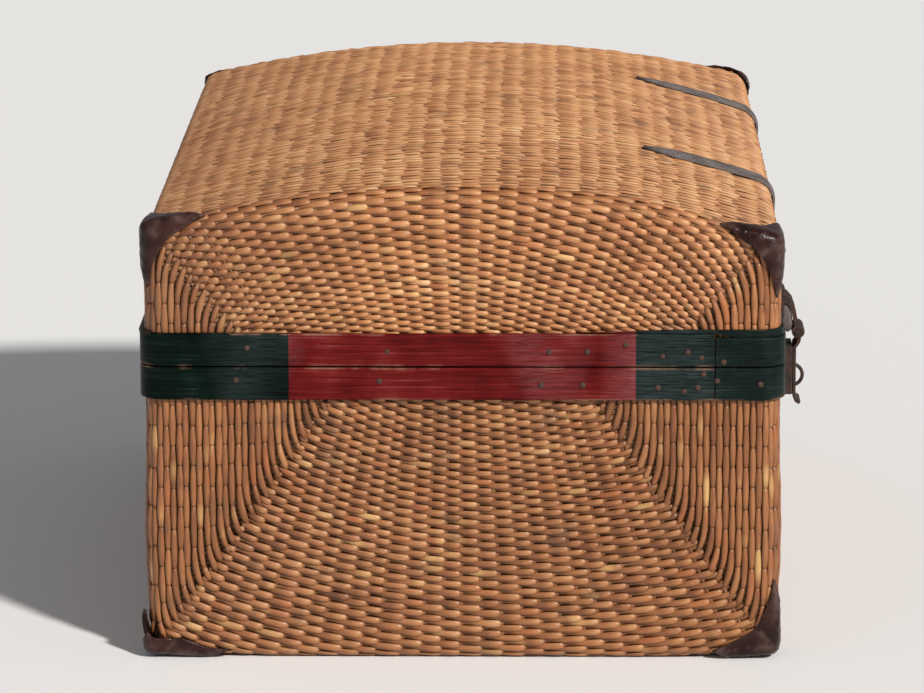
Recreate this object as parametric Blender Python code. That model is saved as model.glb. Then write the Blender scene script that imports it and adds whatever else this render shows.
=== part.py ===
"""A wicker storage trunk with a domed lid, at its real size in metres.

X runs along the trunk, its left end at -X. Y runs from the front, -Y, to the
back, +Y. Z is up. The origin is the middle of the base, on the ground.

The body is an open basket and the lid a domed one. Each is held between a
bent wooden band outside and a wooden hoop inside, has leather caps on its
corners, and turns on two rolled hinges at the back. In front, each of two
leather straps carries a hinged iron hasp, which drops over a staple.
"""

import math

import bmesh
import bpy
from mathutils import Vector

# Driving dimensions.
LENGTH = 0.800  # over the wicker
DEPTH = 0.560
SPLIT_Z = 0.268  # where the lid meets the body
LID_EDGE_Z = 0.3935  # the lid's long edges
END_RISE = 0.033  # arch of the lid above its edges, at each end
CROWN = 0.021  # how much higher the arch is at mid length
BASE_LIFT = 0.008  # how far the base's corners curl off the ground
WALL = 0.009
CORNER_R = 0.030  # upright corners
LID_EDGE_R = 0.014
BASE_EDGE_R = 0.012
SEAM = 0.0015
GAP = 0.0003

BAND_H = 0.029
BAND_T = 0.0045
HOOP_T = 0.005
BAND_JOINT_Y = -0.2215  # where the front and rear lengths of band meet
JOINT_GAP = 0.0012
SLIP_H = 0.007  # thin slip of wood above the lid's front band
SLIP_T = 0.003

LOBE = 0.056  # how far a leather cap runs along each edge
CAP_T = 0.0025
SOFT_GAP = 0.0009

STRAP_X = (-0.199, 0.167)
STRAP_W = 0.026
STRAP_T = 0.003
STRAP_TIP_Y = -0.1615
STRAP_POINT = 0.012

HINGE_X = (-0.230, 0.230)
HINGE_W = 0.050
HINGE_OUT = 0.0110  # hinge axis, outwards from the wicker
HINGE_R = 0.0055
LEAF_T = 0.0025
LEAF_H = 0.030
PIN_R = 0.0026
BORE_R = 0.0029

HASP_OUT = 0.0245  # hasp axis, outwards from the wicker
HASP_DROP = 0.0105  # hasp axis, below the split
HASP_BARREL_R = 0.0060
HASP_W = 0.030
STAPLE_DROP = 0.054
STAPLE_R = 0.010
STAPLE_BAR = 0.0017

HALF_L = LENGTH / 2
HALF_D = DEPTH / 2
BODY_TOP = SPLIT_Z - SEAM / 2
LID_BOTTOM = SPLIT_Z + SEAM / 2
BAND_OUT = GAP + BAND_T  # the bands' outer face, outwards from the wicker

CORNER_STEPS = 6
SIDE_STEPS = 10
END_STEPS = 6
EDGE_STEPS = 5
DOME_STEPS = 6
CAP_STEPS = 10
ROUND_STEPS = 18

FINISHES = {
    "wicker": ((0.50, 0.26, 0.11, 1.0), 0.60, 0.0),
    "green_wood": ((0.010, 0.045, 0.040, 1.0), 0.45, 0.0),
    "bare_wood": ((0.30, 0.17, 0.08, 1.0), 0.65, 0.0),
    "cap_leather": ((0.055, 0.022, 0.022, 1.0), 0.38, 0.0),
    "strap_leather": ((0.13, 0.105, 0.10, 1.0), 0.55, 0.0),
    "iron": ((0.060, 0.045, 0.040, 1.0), 0.50, 0.85),
}


# Helpers


def clear_scene():
    for obj in list(bpy.data.objects):
        bpy.data.objects.remove(obj, do_unlink=True)


def finish_named(name):
    material = bpy.data.materials.get(name)
    if material:
        return material
    colour, roughness, metallic = FINISHES[name]
    material = bpy.data.materials.new(name)
    material.use_nodes = True
    shader = material.node_tree.nodes["Principled BSDF"]
    shader.inputs["Base Color"].default_value = colour
    shader.inputs["Roughness"].default_value = roughness
    shader.inputs["Metallic"].default_value = metallic
    material.diffuse_color = colour
    return material


def add_object(name, bm, finish, smooth=True):
    """Closes the books on a bmesh: outward normals, one object, one material."""
    bmesh.ops.recalc_face_normals(bm, faces=bm.faces)
    mesh = bpy.data.meshes.new(name)
    bm.to_mesh(mesh)
    bm.free()
    if smooth:
        mesh.shade_smooth()
        mesh.set_sharp_from_angle(angle=math.radians(35))
    obj = bpy.data.objects.new(name, mesh)
    bpy.context.scene.collection.objects.link(obj)
    mesh.materials.append(finish_named(finish))
    return obj


def bridge(bm, low, high, closed=True):
    """Quads between two rows of vertices."""
    count = len(low)
    for i in range(count if closed else count - 1):
        j = (i + 1) % count
        bm.faces.new((low[i], low[j], high[j], high[i]))


def fan(bm, row, point):
    centre = bm.verts.new(point)
    for i, vert in enumerate(row):
        bm.faces.new((vert, row[(i + 1) % len(row)], centre))


def on_axis(obj, origin):
    """Moves the object's origin to a point of its joint's axis."""
    origin = Vector(origin)
    for vert in obj.data.vertices:
        vert.co -= origin
    obj.location = origin
    return obj


def boolean(obj, other, operation):
    """Adds a Boolean and hides its operand from the finished model."""
    modifier = obj.modifiers.new(operation.title(), "BOOLEAN")
    modifier.operation = operation
    modifier.object = other
    other.hide_render = True
    other.display_type = "WIRE"
    return obj


# The trunk's outer surface


def outline(inset):
    """The trunk's plan at a distance inside the wicker, counter-clockwise."""
    radius = max(CORNER_R - inset, 0.002)
    flat_x = HALF_L - inset - radius
    flat_y = HALF_D - inset - radius
    points = []
    corners = ((1, 1, 0), (-1, 1, 90), (-1, -1, 180), (1, -1, 270))
    for sign_x, sign_y, start in corners:
        for k in range(CORNER_STEPS + 1):
            angle = math.radians(start + 90 * k / CORNER_STEPS)
            x = sign_x * flat_x + radius * math.cos(angle)
            y = sign_y * flat_y + radius * math.sin(angle)
            points.append((x, y))
        on_long_side = start in (0, 180)
        steps = SIDE_STEPS if on_long_side else END_STEPS
        x, y = points[-1]
        for k in range(1, steps):
            across = 1 - 2 * k / steps
            points.append((x * across, y) if on_long_side else (x, y * across))
    return points


def top_z(x, y):
    """Height of the lid's outer face."""
    across = max(0.0, 1 - (y / HALF_D) ** 2)
    along = max(0.0, 1 - (x / HALF_L) ** 2)
    return LID_EDGE_Z + (END_RISE + CROWN * along) * across


def base_z(x, y):
    """Height of the base's outer face: flat, with its four corners lifted."""
    along = max(0.0, 2 * abs(x) / HALF_L - 1)
    across = max(0.0, 2 * abs(y) / HALF_D - 1)
    return BASE_LIFT * (along * across) ** 2


def inside_trunk(point):
    """Whether a point is within the closed trunk, its edges rounded."""
    x, y, z = point
    over_x = abs(x) - (HALF_L - CORNER_R)
    over_y = abs(y) - (HALF_D - CORNER_R)
    depth = CORNER_R - math.hypot(max(over_x, 0), max(over_y, 0))
    depth -= min(max(over_x, over_y), 0)
    for below, radius in ((top_z(x, y) - z, LID_EDGE_R), (z - base_z(x, y), BASE_EDGE_R)):
        if below < 0:
            return False
        if below < radius and depth < radius - math.sqrt(radius**2 - (radius - below) ** 2):
            return False
    return depth > 0


def surface_towards(start, through):
    """The point where a ray from inside leaves the trunk."""
    step = through - start
    low, high = 0.0, 4.0
    for _ in range(40):
        middle = (low + high) / 2
        if inside_trunk(start + step * middle):
            low = middle
        else:
            high = middle
    return start + step * low


# Baskets


def ring(bm, points):
    return [bm.verts.new(point) for point in points]


def body_ring(bm, inset, above, z_flat):
    """A level ring, or one that follows the base at a height above it."""
    points = []
    for x, y in outline(inset):
        z = z_flat if z_flat is not None else base_z(x, y) + above
        points.append((x, y, z))
    return ring(bm, points)


def base_rows(bm, inset, radius):
    """Rings from the flat middle of the base out round its edge."""
    rows = []
    for scale in (0.5, 0.75):
        points = []
        for x, y in outline(inset):
            x, y = x * scale, y * scale
            points.append((x, y, base_z(x, y) + inset))
        rows.append(ring(bm, points))
    for k in range(EDGE_STEPS + 1):
        angle = math.radians(90 * k / EDGE_STEPS)
        out = radius * (1 - math.sin(angle))
        up = radius * (1 - math.cos(angle))
        rows.append(body_ring(bm, inset + out, inset + up, None))
    return rows


def make_body_basket():
    bm = bmesh.new()
    outer = base_rows(bm, 0.0, BASE_EDGE_R)
    outer.append(body_ring(bm, 0.0, 0.0, BODY_TOP))
    inner = base_rows(bm, WALL, BASE_EDGE_R - WALL)
    inner.append(body_ring(bm, WALL, 0.0, BODY_TOP))
    for rows in (outer, inner):
        bm.faces.new(rows[0])
        for low, high in zip(rows, rows[1:]):
            bridge(bm, low, high)
    bridge(bm, outer[-1], inner[-1])
    return add_object("body_basket", bm, "wicker")


def lid_rows(bm, inset, radius):
    """Rings from the lid's rim up its wall, round its edge and over its dome."""
    rows = []
    wall = outline(inset)
    for k in (0, 1):
        points = []
        for x, y in wall:
            high = top_z(x, y) - inset - radius
            points.append((x, y, LID_BOTTOM + (high - LID_BOTTOM) * k))
        rows.append(ring(bm, points))
    edge = wall
    for k in range(1, EDGE_STEPS + 1):
        angle = math.radians(90 * k / EDGE_STEPS)
        edge = outline(inset + radius * (1 - math.cos(angle)))
        drop = inset + radius * (1 - math.sin(angle))
        rows.append(ring(bm, [(x, y, top_z(x, y) - drop) for x, y in edge]))
    for k in range(1, DOME_STEPS):
        scale = 1 - k / DOME_STEPS
        points = [(x * scale, y * scale) for x, y in edge]
        rows.append(ring(bm, [(x, y, top_z(x, y) - inset) for x, y in points]))
    return rows


def make_lid_basket():
    bm = bmesh.new()
    outer = lid_rows(bm, 0.0, LID_EDGE_R)
    inner = lid_rows(bm, WALL, LID_EDGE_R - WALL)
    for rows, inset in ((outer, 0.0), (inner, WALL)):
        for low, high in zip(rows, rows[1:]):
            bridge(bm, low, high)
        fan(bm, rows[-1], (0, 0, top_z(0, 0) - inset))
    bridge(bm, outer[0], inner[0])
    return add_object("lid_basket", bm, "wicker")


# Rim bands and hoops


def cut_path(path, rear):
    """The part of a plan outline behind or in front of the bands' joints."""
    edge_y = BAND_JOINT_Y if rear else BAND_JOINT_Y - JOINT_GAP
    inside = [i for i, (_, y) in enumerate(path) if (y > edge_y) == rear]
    first = next(i for i in inside if (i - 1) % len(path) not in inside)
    ordered = [path[(first + k) % len(path)] for k in range(len(inside))]
    begin = (ordered[0][0], edge_y)
    end = (ordered[-1][0], edge_y)
    return [begin] + ordered + [end]


def sweep_rim(name, section, finish, span="all"):
    """Carries a section, given as (outwards, z) pairs, round the trunk's plan."""
    bm = bmesh.new()
    rows = []
    for out, z in section:
        path = outline(-out)
        if span != "all":
            path = cut_path(path, span == "rear")
        rows.append(ring(bm, [(x, y, z) for x, y in path]))
    closed = span == "all"
    for i, row in enumerate(rows):
        bridge(bm, row, rows[(i + 1) % len(rows)], closed)
    if not closed:
        bm.faces.new([row[0] for row in rows])
        bm.faces.new([row[-1] for row in rows])
    return add_object(name, bm, finish)


def band_section(low, high, inner, outer):
    """A rectangle with its two outer edges eased."""
    ease = 0.0012
    return [
        (inner, low),
        (outer - ease, low),
        (outer, low + ease),
        (outer, high - ease),
        (outer - ease, high),
        (inner, high),
    ]


def make_rims():
    places = (
        ("body", BODY_TOP - BAND_H, BODY_TOP),
        ("lid", LID_BOTTOM, LID_BOTTOM + BAND_H),
    )
    for owner, low, high in places:
        section = band_section(low, high, GAP, BAND_OUT)
        for span in ("rear", "front"):
            sweep_rim(f"{owner}_rim_band_{span}", section, "green_wood", span)
        inner = -WALL - GAP
        section = band_section(low, high, inner, inner - HOOP_T)
        sweep_rim(f"{owner}_inner_hoop", section, "bare_wood")


def make_slip():
    """A thin tapering slip of wood lying above the lid's front band."""
    low = LID_BOTTOM + BAND_H + GAP
    start_y = -0.100
    full_y = -0.190
    end_x = -0.330
    path = [(-HALF_L, start_y), (-HALF_L, (start_y + full_y) / 2), (-HALF_L, full_y)]
    for k in range(CORNER_STEPS + 1):
        angle = math.radians(180 + 90 * k / CORNER_STEPS)
        x = -HALF_L + CORNER_R * (1 + math.cos(angle))
        y = -HALF_D + CORNER_R * (1 + math.sin(angle))
        path.append((x, y))
    path.append((end_x, -HALF_D))
    bm = bmesh.new()
    rows = []
    for i, (x, y) in enumerate(path):
        if i < 3:
            out = Vector((-1, 0, 0))
        elif i == len(path) - 1:
            out = Vector((0, -1, 0))
        else:
            angle = math.radians(180 + 90 * (i - 3) / CORNER_STEPS)
            out = Vector((math.cos(angle), math.sin(angle), 0))
        height = SLIP_H * (0.15, 0.60)[i] if i < 2 else SLIP_H
        near = Vector((x, y, low)) + out * GAP
        far = near + out * SLIP_T
        up = Vector((0, 0, height))
        rows.append(ring(bm, [near, far, far + up, near + up]))
    for low_row, high_row in zip(rows, rows[1:]):
        bridge(bm, low_row, high_row)
    bm.faces.new(rows[0])
    bm.faces.new(rows[-1])
    return add_object("lid_rim_slip", bm, "green_wood", smooth=False)


# Leather


def patch_solid(name, points, rim, faces, thickness, finish):
    """Thickens an open patch, lying on the surface, into a closed solid."""
    bm = bmesh.new()
    for point in points:
        bm.verts.new(point)
    bm.verts.ensure_lookup_table()
    for face in faces:
        bm.faces.new([bm.verts[i] for i in face])
    bm.normal_update()
    middle = Vector((0, 0, SPLIT_Z))
    normals = []
    for vert in bm.verts:
        out = vert.normal.copy()
        normals.append(out if out.dot(vert.co - middle) > 0 else -out)
    near = [p + n * SOFT_GAP for p, n in zip(points, normals)]
    far = [p + n * (SOFT_GAP + thickness) for p, n in zip(points, normals)]
    bm.clear()
    near = ring(bm, near)
    far = ring(bm, far)
    for face in faces:
        bm.faces.new([near[i] for i in face])
        bm.faces.new([far[i] for i in face])
    for i, j in zip(rim, rim[1:] + rim[:1]):
        bm.faces.new((near[i], near[j], far[j], far[i]))
    return add_object(name, bm, finish)


def make_cap(name, side_x, side_y, z, up):
    """A three-lobed leather cap folded over one corner of the trunk."""
    corner = Vector((side_x * HALF_L, side_y * HALF_D, z))
    lobes = (
        Vector((-side_x * LOBE, 0, 0)),
        Vector((0, -side_y * LOBE, 0)),
        Vector((0, 0, -up * LOBE)),
    )
    centre = corner + sum(lobes, Vector()) * 0.75
    index = {}
    points = []
    for i in range(CAP_STEPS + 1):
        for j in range(CAP_STEPS + 1 - i):
            share = (i / CAP_STEPS, j / CAP_STEPS, 1 - (i + j) / CAP_STEPS)
            a, b, c = share
            pull = 1 - 0.40 * (a * b + b * c + c * a - 3 * a * b * c)
            through = corner + sum((l * s for l, s in zip(lobes, share)), Vector()) * pull
            index[i, j] = len(points)
            points.append(surface_towards(centre, through))
    faces = []
    for i in range(CAP_STEPS):
        for j in range(CAP_STEPS - i):
            faces.append((index[i, j], index[i + 1, j], index[i, j + 1]))
            if i + j < CAP_STEPS - 1:
                faces.append((index[i + 1, j], index[i + 1, j + 1], index[i, j + 1]))
    rim = [index[i, 0] for i in range(CAP_STEPS)]
    rim += [index[CAP_STEPS - k, k] for k in range(CAP_STEPS)]
    rim += [index[0, CAP_STEPS - k] for k in range(CAP_STEPS)]
    return patch_solid(name, points, rim, faces, CAP_T, "cap_leather")


def make_caps():
    for owner, z, up in (("lid", LID_EDGE_Z, 1), ("base", BASE_LIFT, -1)):
        for side_y, fore in ((-1, "front"), (1, "back")):
            for side_x, end in ((-1, "left"), (1, "right")):
                make_cap(f"{owner}_corner_cap_{fore}_{end}", side_x, side_y, z, up)


def strap_route(x):
    """Points down a strap's line at one x: over the dome, the edge, the front
    of the lid and out over its band. The last value is the extra clearance."""
    route = []
    edge_y = -HALF_D + LID_EDGE_R
    steps = 8
    for k in range(steps + 1):
        y = STRAP_TIP_Y + (edge_y - STRAP_TIP_Y) * k / steps
        route.append(Vector((x, y, top_z(x, y))))
    for k in range(1, EDGE_STEPS + 1):
        angle = math.radians(90 * k / EDGE_STEPS)
        y = edge_y - LID_EDGE_R * math.sin(angle)
        z = top_z(x, y) - LID_EDGE_R * (1 - math.cos(angle))
        route.append(Vector((x, y, z)))
    band_top = LID_BOTTOM + BAND_H
    for rise in (0.045, 0.014):
        route.append(Vector((x, -HALF_D, band_top + rise)))
    for rise in (0.002, -0.0245):
        route.append(Vector((x, -HALF_D - BAND_OUT, band_top + rise)))
    return route


def make_strap(name, x):
    """A leather strap with a pointed end, lying over the lid's front edge."""
    columns = [strap_route(x + STRAP_W * across) for across in (-0.5, -0.17, 0.17, 0.5)]
    points = []
    for across, column in zip((-1.0, -0.34, 0.34, 1.0), columns):
        tip = column[0].copy()
        tip.y += STRAP_POINT * (1 - abs(across))
        tip.z = top_z(tip.x, tip.y)
        points += [tip] + column[1:]
    rows = len(columns[0])
    faces = []
    for c in range(len(columns) - 1):
        for r in range(rows - 1):
            first = c * rows + r
            faces.append((first, first + 1, first + rows + 1, first + rows))
    last = (len(columns) - 1) * rows
    rim = list(range(rows))
    rim += [c * rows + rows - 1 for c in range(1, len(columns))]
    rim += list(range(last + rows - 2, last - 1, -1))
    rim += [c * rows for c in range(len(columns) - 2, 0, -1)]
    return patch_solid(name, points, rim, faces, STRAP_T, "strap_leather")


# Metalwork


def prism(name, profile, x_low, x_high, finish="iron", side=-1):
    """Extrudes a section along X. Its points are (outwards from the wicker,
    up from the split), on the front of the trunk or, with side 1, the back."""
    bm = bmesh.new()
    ends = []
    for x in (x_low, x_high):
        points = [(x, side * (HALF_D + out), SPLIT_Z + up) for out, up in profile]
        ends.append(ring(bm, points))
    bridge(bm, *ends)
    for end in ends:
        bm.faces.new(end)
    return add_object(name, bm, finish)


def block(name, out, up, x, finish="iron", side=-1, bevel=0.0):
    """A rectangular block given by three (low, high) pairs."""
    profile = [(out[0], up[0]), (out[1], up[0]), (out[1], up[1]), (out[0], up[1])]
    obj = prism(name, profile, x[0], x[1], finish, side)
    if bevel:
        modifier = obj.modifiers.new("Bevel", "BEVEL")
        modifier.width = bevel
        modifier.segments = 2
    return obj


def circle(centre, radius, steps=ROUND_STEPS):
    out, up = centre
    turn = 2 * math.pi / steps
    return [
        (out + radius * math.cos(k * turn), up + radius * math.sin(k * turn)) for k in range(steps)
    ]


def stud(name, out, up, x, shank, side=-1):
    """A rivet along Y: a low domed head on a short shank."""
    shank_r, head_r, head_h = 0.0018, 0.0042, 0.0020
    profile = [(0.0, shank_r), (shank, shank_r), (shank, head_r)]
    for k in range(1, 4):
        angle = math.radians(90 * k / 4)
        profile.append((shank + head_h * math.sin(angle), head_r * math.cos(angle)))
    bm = bmesh.new()
    rows = []
    steps = 12
    for along, radius in profile:
        y = side * (HALF_D + out + along)
        points = []
        for k in range(steps):
            angle = 2 * math.pi * k / steps
            z = SPLIT_Z + up + radius * math.sin(angle)
            points.append((x + radius * math.cos(angle), y, z))
        rows.append(ring(bm, points))
    bm.faces.new(rows[0])
    for low, high in zip(rows, rows[1:]):
        bridge(bm, low, high)
    fan(bm, rows[-1], (x, side * (HALF_D + out + shank + head_h), SPLIT_Z + up))
    return add_object(name, bm, "iron")


def drill(obj, out, up, x, radius, side=-1):
    """Cuts a round hole along Y through a plate."""
    reach = 0.004
    bm = bmesh.new()
    rows = []
    for along in (out[0] - reach, out[1] + reach):
        y = side * (HALF_D + along)
        points = [(x + dx, y, SPLIT_Z + up + dz) for dx, dz in circle((0, 0), radius, 16)]
        rows.append(ring(bm, points))
    bridge(bm, *rows)
    for row in rows:
        bm.faces.new(row)
    cutter = add_object(f"{obj.name}_hole_{len(obj.modifiers)}", bm, "iron")
    return boolean(obj, cutter, "DIFFERENCE")


def rivets(plate, name, out, up_values, x_values, side=-1):
    """Drills a plate and fills each hole with its own rivet."""
    hole_r = 0.0022
    count = 0
    for up in up_values:
        for x in x_values:
            count += 1
            drill(plate, out, up, x, hole_r, side)
            stud(f"{name}_{count}", out[0] + GAP, up, x, out[1] - out[0], side)


def make_leaf(name, x, direction, knuckles):
    """One leaf of a back hinge: a plate with its edge rolled round the pin."""
    centre = (HINGE_OUT, 0.0)
    plate_out = (BAND_OUT + GAP, BAND_OUT + GAP + LEAF_T)
    clear = HINGE_R + 0.0008
    spans = sorted((direction * clear, direction * LEAF_H))
    plate = block(name, plate_out, spans, (x - HINGE_W / 2, x + HINGE_W / 2), side=1)
    for k, (low, high) in enumerate(knuckles):
        spans = sorted((direction * 0.003, direction * (clear + 0.001)))
        neck = block(f"{name}_neck_{k}", plate_out, spans, (x + low, x + high), side=1)
        barrel_r = circle(centre, HINGE_R)
        barrel = prism(f"{name}_barrel_{k}", barrel_r, x + low, x + high, side=1)
        boolean(plate, neck, "UNION")
        boolean(plate, barrel, "UNION")
    reach = HINGE_W
    bore = prism(f"{name}_bore", circle(centre, BORE_R), x - reach, x + reach, side=1)
    return boolean(plate, bore, "DIFFERENCE")


def make_back_hinges():
    third = HINGE_W / 6
    play = 0.0004
    outer = ((-3 * third, -third - play), (third + play, 3 * third))
    inner = ((-third, third),)
    plate_out = (BAND_OUT + GAP, BAND_OUT + GAP + LEAF_T)
    rivet_up = 0.019
    rivet_x = 0.016
    for label, x in zip(("left", "right"), HINGE_X):
        name = f"{label}_hinge"
        body = make_leaf(f"{name}_body_leaf", x, -1, outer)
        lid = make_leaf(f"{name}_lid_leaf", x, 1, inner)
        places = (x - rivet_x, x + rivet_x)
        rivets(body, f"{name}_body_rivet", plate_out, (-rivet_up,), places, side=1)
        rivets(lid, f"{name}_lid_rivet", plate_out, (rivet_up,), places, side=1)
        half = HINGE_W / 2 + 0.002
        pin = prism(f"{name}_pin", circle((HINGE_OUT, 0.0), PIN_R), x - half, x + half, side=1)
        on_axis(pin, (x, HALF_D + HINGE_OUT, SPLIT_Z))


def make_hasp_bracket(name, x):
    """The iron bracket on a strap's lower end, arched out to the hasp's pin."""
    strap_face = BAND_OUT + SOFT_GAP + STRAP_T + GAP
    plate_out = (strap_face, strap_face + LEAF_T)
    half = HASP_W / 2
    plate = block(name, plate_out, (0.0035, 0.0265), (x - half, x + half))
    centre = (HASP_OUT, -HASP_DROP)
    arm = [
        (plate_out[1] - 0.001, 0.0250),
        (0.0150, 0.0225),
        (0.0195, 0.0170),
        (0.0220, 0.0100),
        (0.0235, 0.0020),
        (0.0250, -0.0055),
        (0.0215, -0.0065),
        (0.0195, 0.0020),
        (0.0180, 0.0095),
        (0.0155, 0.0145),
        (plate_out[1] - 0.001, 0.0170),
    ]
    ear = HASP_W / 4
    play = 0.0004
    for k, (low, high) in enumerate(((-half, -ear - play), (ear + play, half))):
        arm_part = prism(f"{name}_arm_{k}", arm, x + low, x + high)
        barrel = prism(f"{name}_barrel_{k}", circle(centre, HASP_BARREL_R), x + low, x + high)
        boolean(plate, arm_part, "UNION")
        boolean(plate, barrel, "UNION")
    bore = prism(f"{name}_bore", circle(centre, BORE_R), x - HASP_W, x + HASP_W)
    boolean(plate, bore, "DIFFERENCE")
    return plate, plate_out


def make_hasp(name, x):
    """A drop hasp: a barrel, a plate slotted for the staple and a turned-out lip."""
    plate = [
        (0.0240, -0.0150),
        (0.0275, -0.0150),
        (0.0265, -0.0205),
        (0.0228, -0.0260),
        (0.0228, -0.0710),
        (0.0245, -0.0745),
        (0.0275, -0.0765),
        (0.0260, -0.0788),
        (0.0222, -0.0765),
        (0.0203, -0.0720),
        (0.0203, -0.0250),
        (0.0235, -0.0200),
    ]
    ear = HASP_W / 4
    half = HASP_W / 2
    hasp = prism(name, plate, x - half, x + half)
    centre = (HASP_OUT, -HASP_DROP)
    barrel = prism(f"{name}_barrel", circle(centre, HASP_BARREL_R), x - ear, x + ear)
    boolean(hasp, barrel, "UNION")
    clear = HASP_BARREL_R + 0.0006
    for k, (low, high) in enumerate(((-half - 0.001, -ear), (ear, half + 0.001))):
        relief = prism(f"{name}_relief_{k}", circle(centre, clear), x + low, x + high)
        boolean(hasp, relief, "DIFFERENCE")
    bore = prism(f"{name}_bore", circle(centre, BORE_R), x - HASP_W, x + HASP_W)
    boolean(hasp, bore, "DIFFERENCE")
    reach = 0.0125
    slot = block(
        f"{name}_slot",
        (0.015, 0.030),
        (-STAPLE_DROP - reach, -STAPLE_DROP + reach),
        (x - 0.0050, x + 0.0050),
    )
    boolean(hasp, slot, "DIFFERENCE")
    return on_axis(hasp, (x, -HALF_D - HASP_OUT, SPLIT_Z - HASP_DROP))


def make_staple(name, x, root_out, leg_end):
    """A round iron bar bent to a loop, its two legs sunk in the lock case."""
    curve = bpy.data.curves.new(name, "CURVE")
    curve.dimensions = "3D"
    curve.bevel_depth = STAPLE_BAR
    curve.bevel_resolution = 3
    curve.use_fill_caps = True
    route = [(root_out, STAPLE_R), (leg_end, STAPLE_R)]
    steps = 12
    for k in range(1, steps):
        angle = math.radians(90 - 180 * k / steps)
        route.append((leg_end + STAPLE_R * math.cos(angle), STAPLE_R * math.sin(angle)))
    route += [(leg_end, -STAPLE_R), (root_out, -STAPLE_R)]
    spline = curve.splines.new("POLY")
    spline.points.add(len(route) - 1)
    for point, (out, up) in zip(spline.points, route):
        point.co = (x, -HALF_D - out, SPLIT_Z - STAPLE_DROP + up, 1)
    obj = bpy.data.objects.new(name, curve)
    bpy.context.scene.collection.objects.link(obj)
    curve.materials.append(finish_named("iron"))
    return obj


def make_locks():
    pad_foot = -0.0820
    plate_out = (BAND_OUT + GAP, BAND_OUT + GAP + LEAF_T)
    case_out = (plate_out[1] + GAP, 0.0195)
    for label, x in zip(("left", "right"), STRAP_X):
        make_strap(f"{label}_lid_strap", x)
        bracket, bracket_out = make_hasp_bracket(f"{label}_hasp_bracket", x)
        rivets(bracket, f"{label}_hasp_rivet", bracket_out, (0.0205, 0.0095), (x,))
        centre = (HASP_OUT, -HASP_DROP)
        half = HASP_W / 2 + 0.002
        pin = prism(f"{label}_hasp_pin", circle(centre, PIN_R), x - half, x + half)
        on_axis(pin, (x, -HALF_D - HASP_OUT, SPLIT_Z - HASP_DROP))
        make_hasp(f"{label}_hasp", x)

        pad_top = -SEAM / 2 - BAND_H - GAP
        block(
            f"{label}_lock_pad",
            (SOFT_GAP, BAND_OUT),
            (pad_foot, pad_top),
            (x - 0.021, x + 0.021),
            finish="strap_leather",
            bevel=0.0008,
        )
        lock_plate = block(
            f"{label}_lock_plate", plate_out, (-0.0780, -0.0012), (x - 0.023, x + 0.023)
        )
        rivets(
            lock_plate,
            f"{label}_lock_rivet",
            plate_out,
            (-0.0140, -0.0725),
            (x,),
        )
        case = block(
            f"{label}_lock_case", case_out, (-0.0685, -0.0240), (x - 0.019, x + 0.019)
        )
        for up in (STAPLE_R, -STAPLE_R):
            drill(case, (0.0140, 0.0200), -STAPLE_DROP + up, x, STAPLE_BAR + GAP)
        modifier = case.modifiers.new("Bevel", "BEVEL")
        modifier.width = 0.0008
        modifier.segments = 2
        modifier.limit_method = "ANGLE"
        make_staple(f"{label}_staple", x, 0.0145, 0.0195)


clear_scene()
make_body_basket()
make_lid_basket()
make_rims()
make_slip()
make_caps()
make_back_hinges()
make_locks()
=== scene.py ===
"""The looks of a wicker storage trunk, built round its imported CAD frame.

Both baskets are woven strand by strand. Every side of the trunk is a panel
with its own two directions: u runs to the right as seen from outside, and v
runs up the wall. Rows of cane lie along u in the middle of a panel, and
upright strands fill it out to its corners; the two meet on a slanting mitre.
"""

import math

import bpy
import numpy as np
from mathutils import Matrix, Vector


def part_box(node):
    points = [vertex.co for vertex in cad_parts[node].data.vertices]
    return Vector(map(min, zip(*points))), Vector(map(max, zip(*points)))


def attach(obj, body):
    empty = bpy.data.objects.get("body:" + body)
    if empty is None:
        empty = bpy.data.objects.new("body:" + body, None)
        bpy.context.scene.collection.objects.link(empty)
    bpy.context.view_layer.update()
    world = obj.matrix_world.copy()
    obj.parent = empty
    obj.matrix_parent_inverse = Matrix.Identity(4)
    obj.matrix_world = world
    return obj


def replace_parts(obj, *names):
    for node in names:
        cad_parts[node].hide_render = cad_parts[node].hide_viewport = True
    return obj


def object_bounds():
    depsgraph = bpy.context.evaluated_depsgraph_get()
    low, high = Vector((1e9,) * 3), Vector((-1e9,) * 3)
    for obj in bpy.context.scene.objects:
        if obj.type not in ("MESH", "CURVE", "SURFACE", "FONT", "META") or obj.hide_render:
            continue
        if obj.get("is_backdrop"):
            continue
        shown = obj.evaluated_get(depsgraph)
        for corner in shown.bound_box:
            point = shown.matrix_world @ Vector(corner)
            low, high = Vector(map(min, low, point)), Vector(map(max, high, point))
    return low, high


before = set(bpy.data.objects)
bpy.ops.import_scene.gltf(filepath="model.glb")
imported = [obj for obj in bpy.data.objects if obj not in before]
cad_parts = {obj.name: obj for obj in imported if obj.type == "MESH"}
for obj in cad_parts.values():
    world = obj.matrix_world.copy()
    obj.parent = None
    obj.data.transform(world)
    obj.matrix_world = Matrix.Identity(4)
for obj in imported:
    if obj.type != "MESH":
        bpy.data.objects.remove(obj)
CAD_LOW, CAD_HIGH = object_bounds()

# Sizes taken from the frame.
BODY_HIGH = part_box("body_basket")[1]
LID_LOW, LID_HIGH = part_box("lid_basket")
HALF_L = BODY_HIGH.x
HALF_D = BODY_HIGH.y
BODY_TOP = BODY_HIGH.z
LID_BOTTOM = LID_LOW.z
BAND_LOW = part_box("body_rim_band_rear")[0].z
BAND_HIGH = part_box("lid_rim_band_rear")[1].z
BAND_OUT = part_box("body_rim_band_rear")[1].y - HALF_D
BAND_JOINT_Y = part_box("body_rim_band_rear")[0].y

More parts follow.
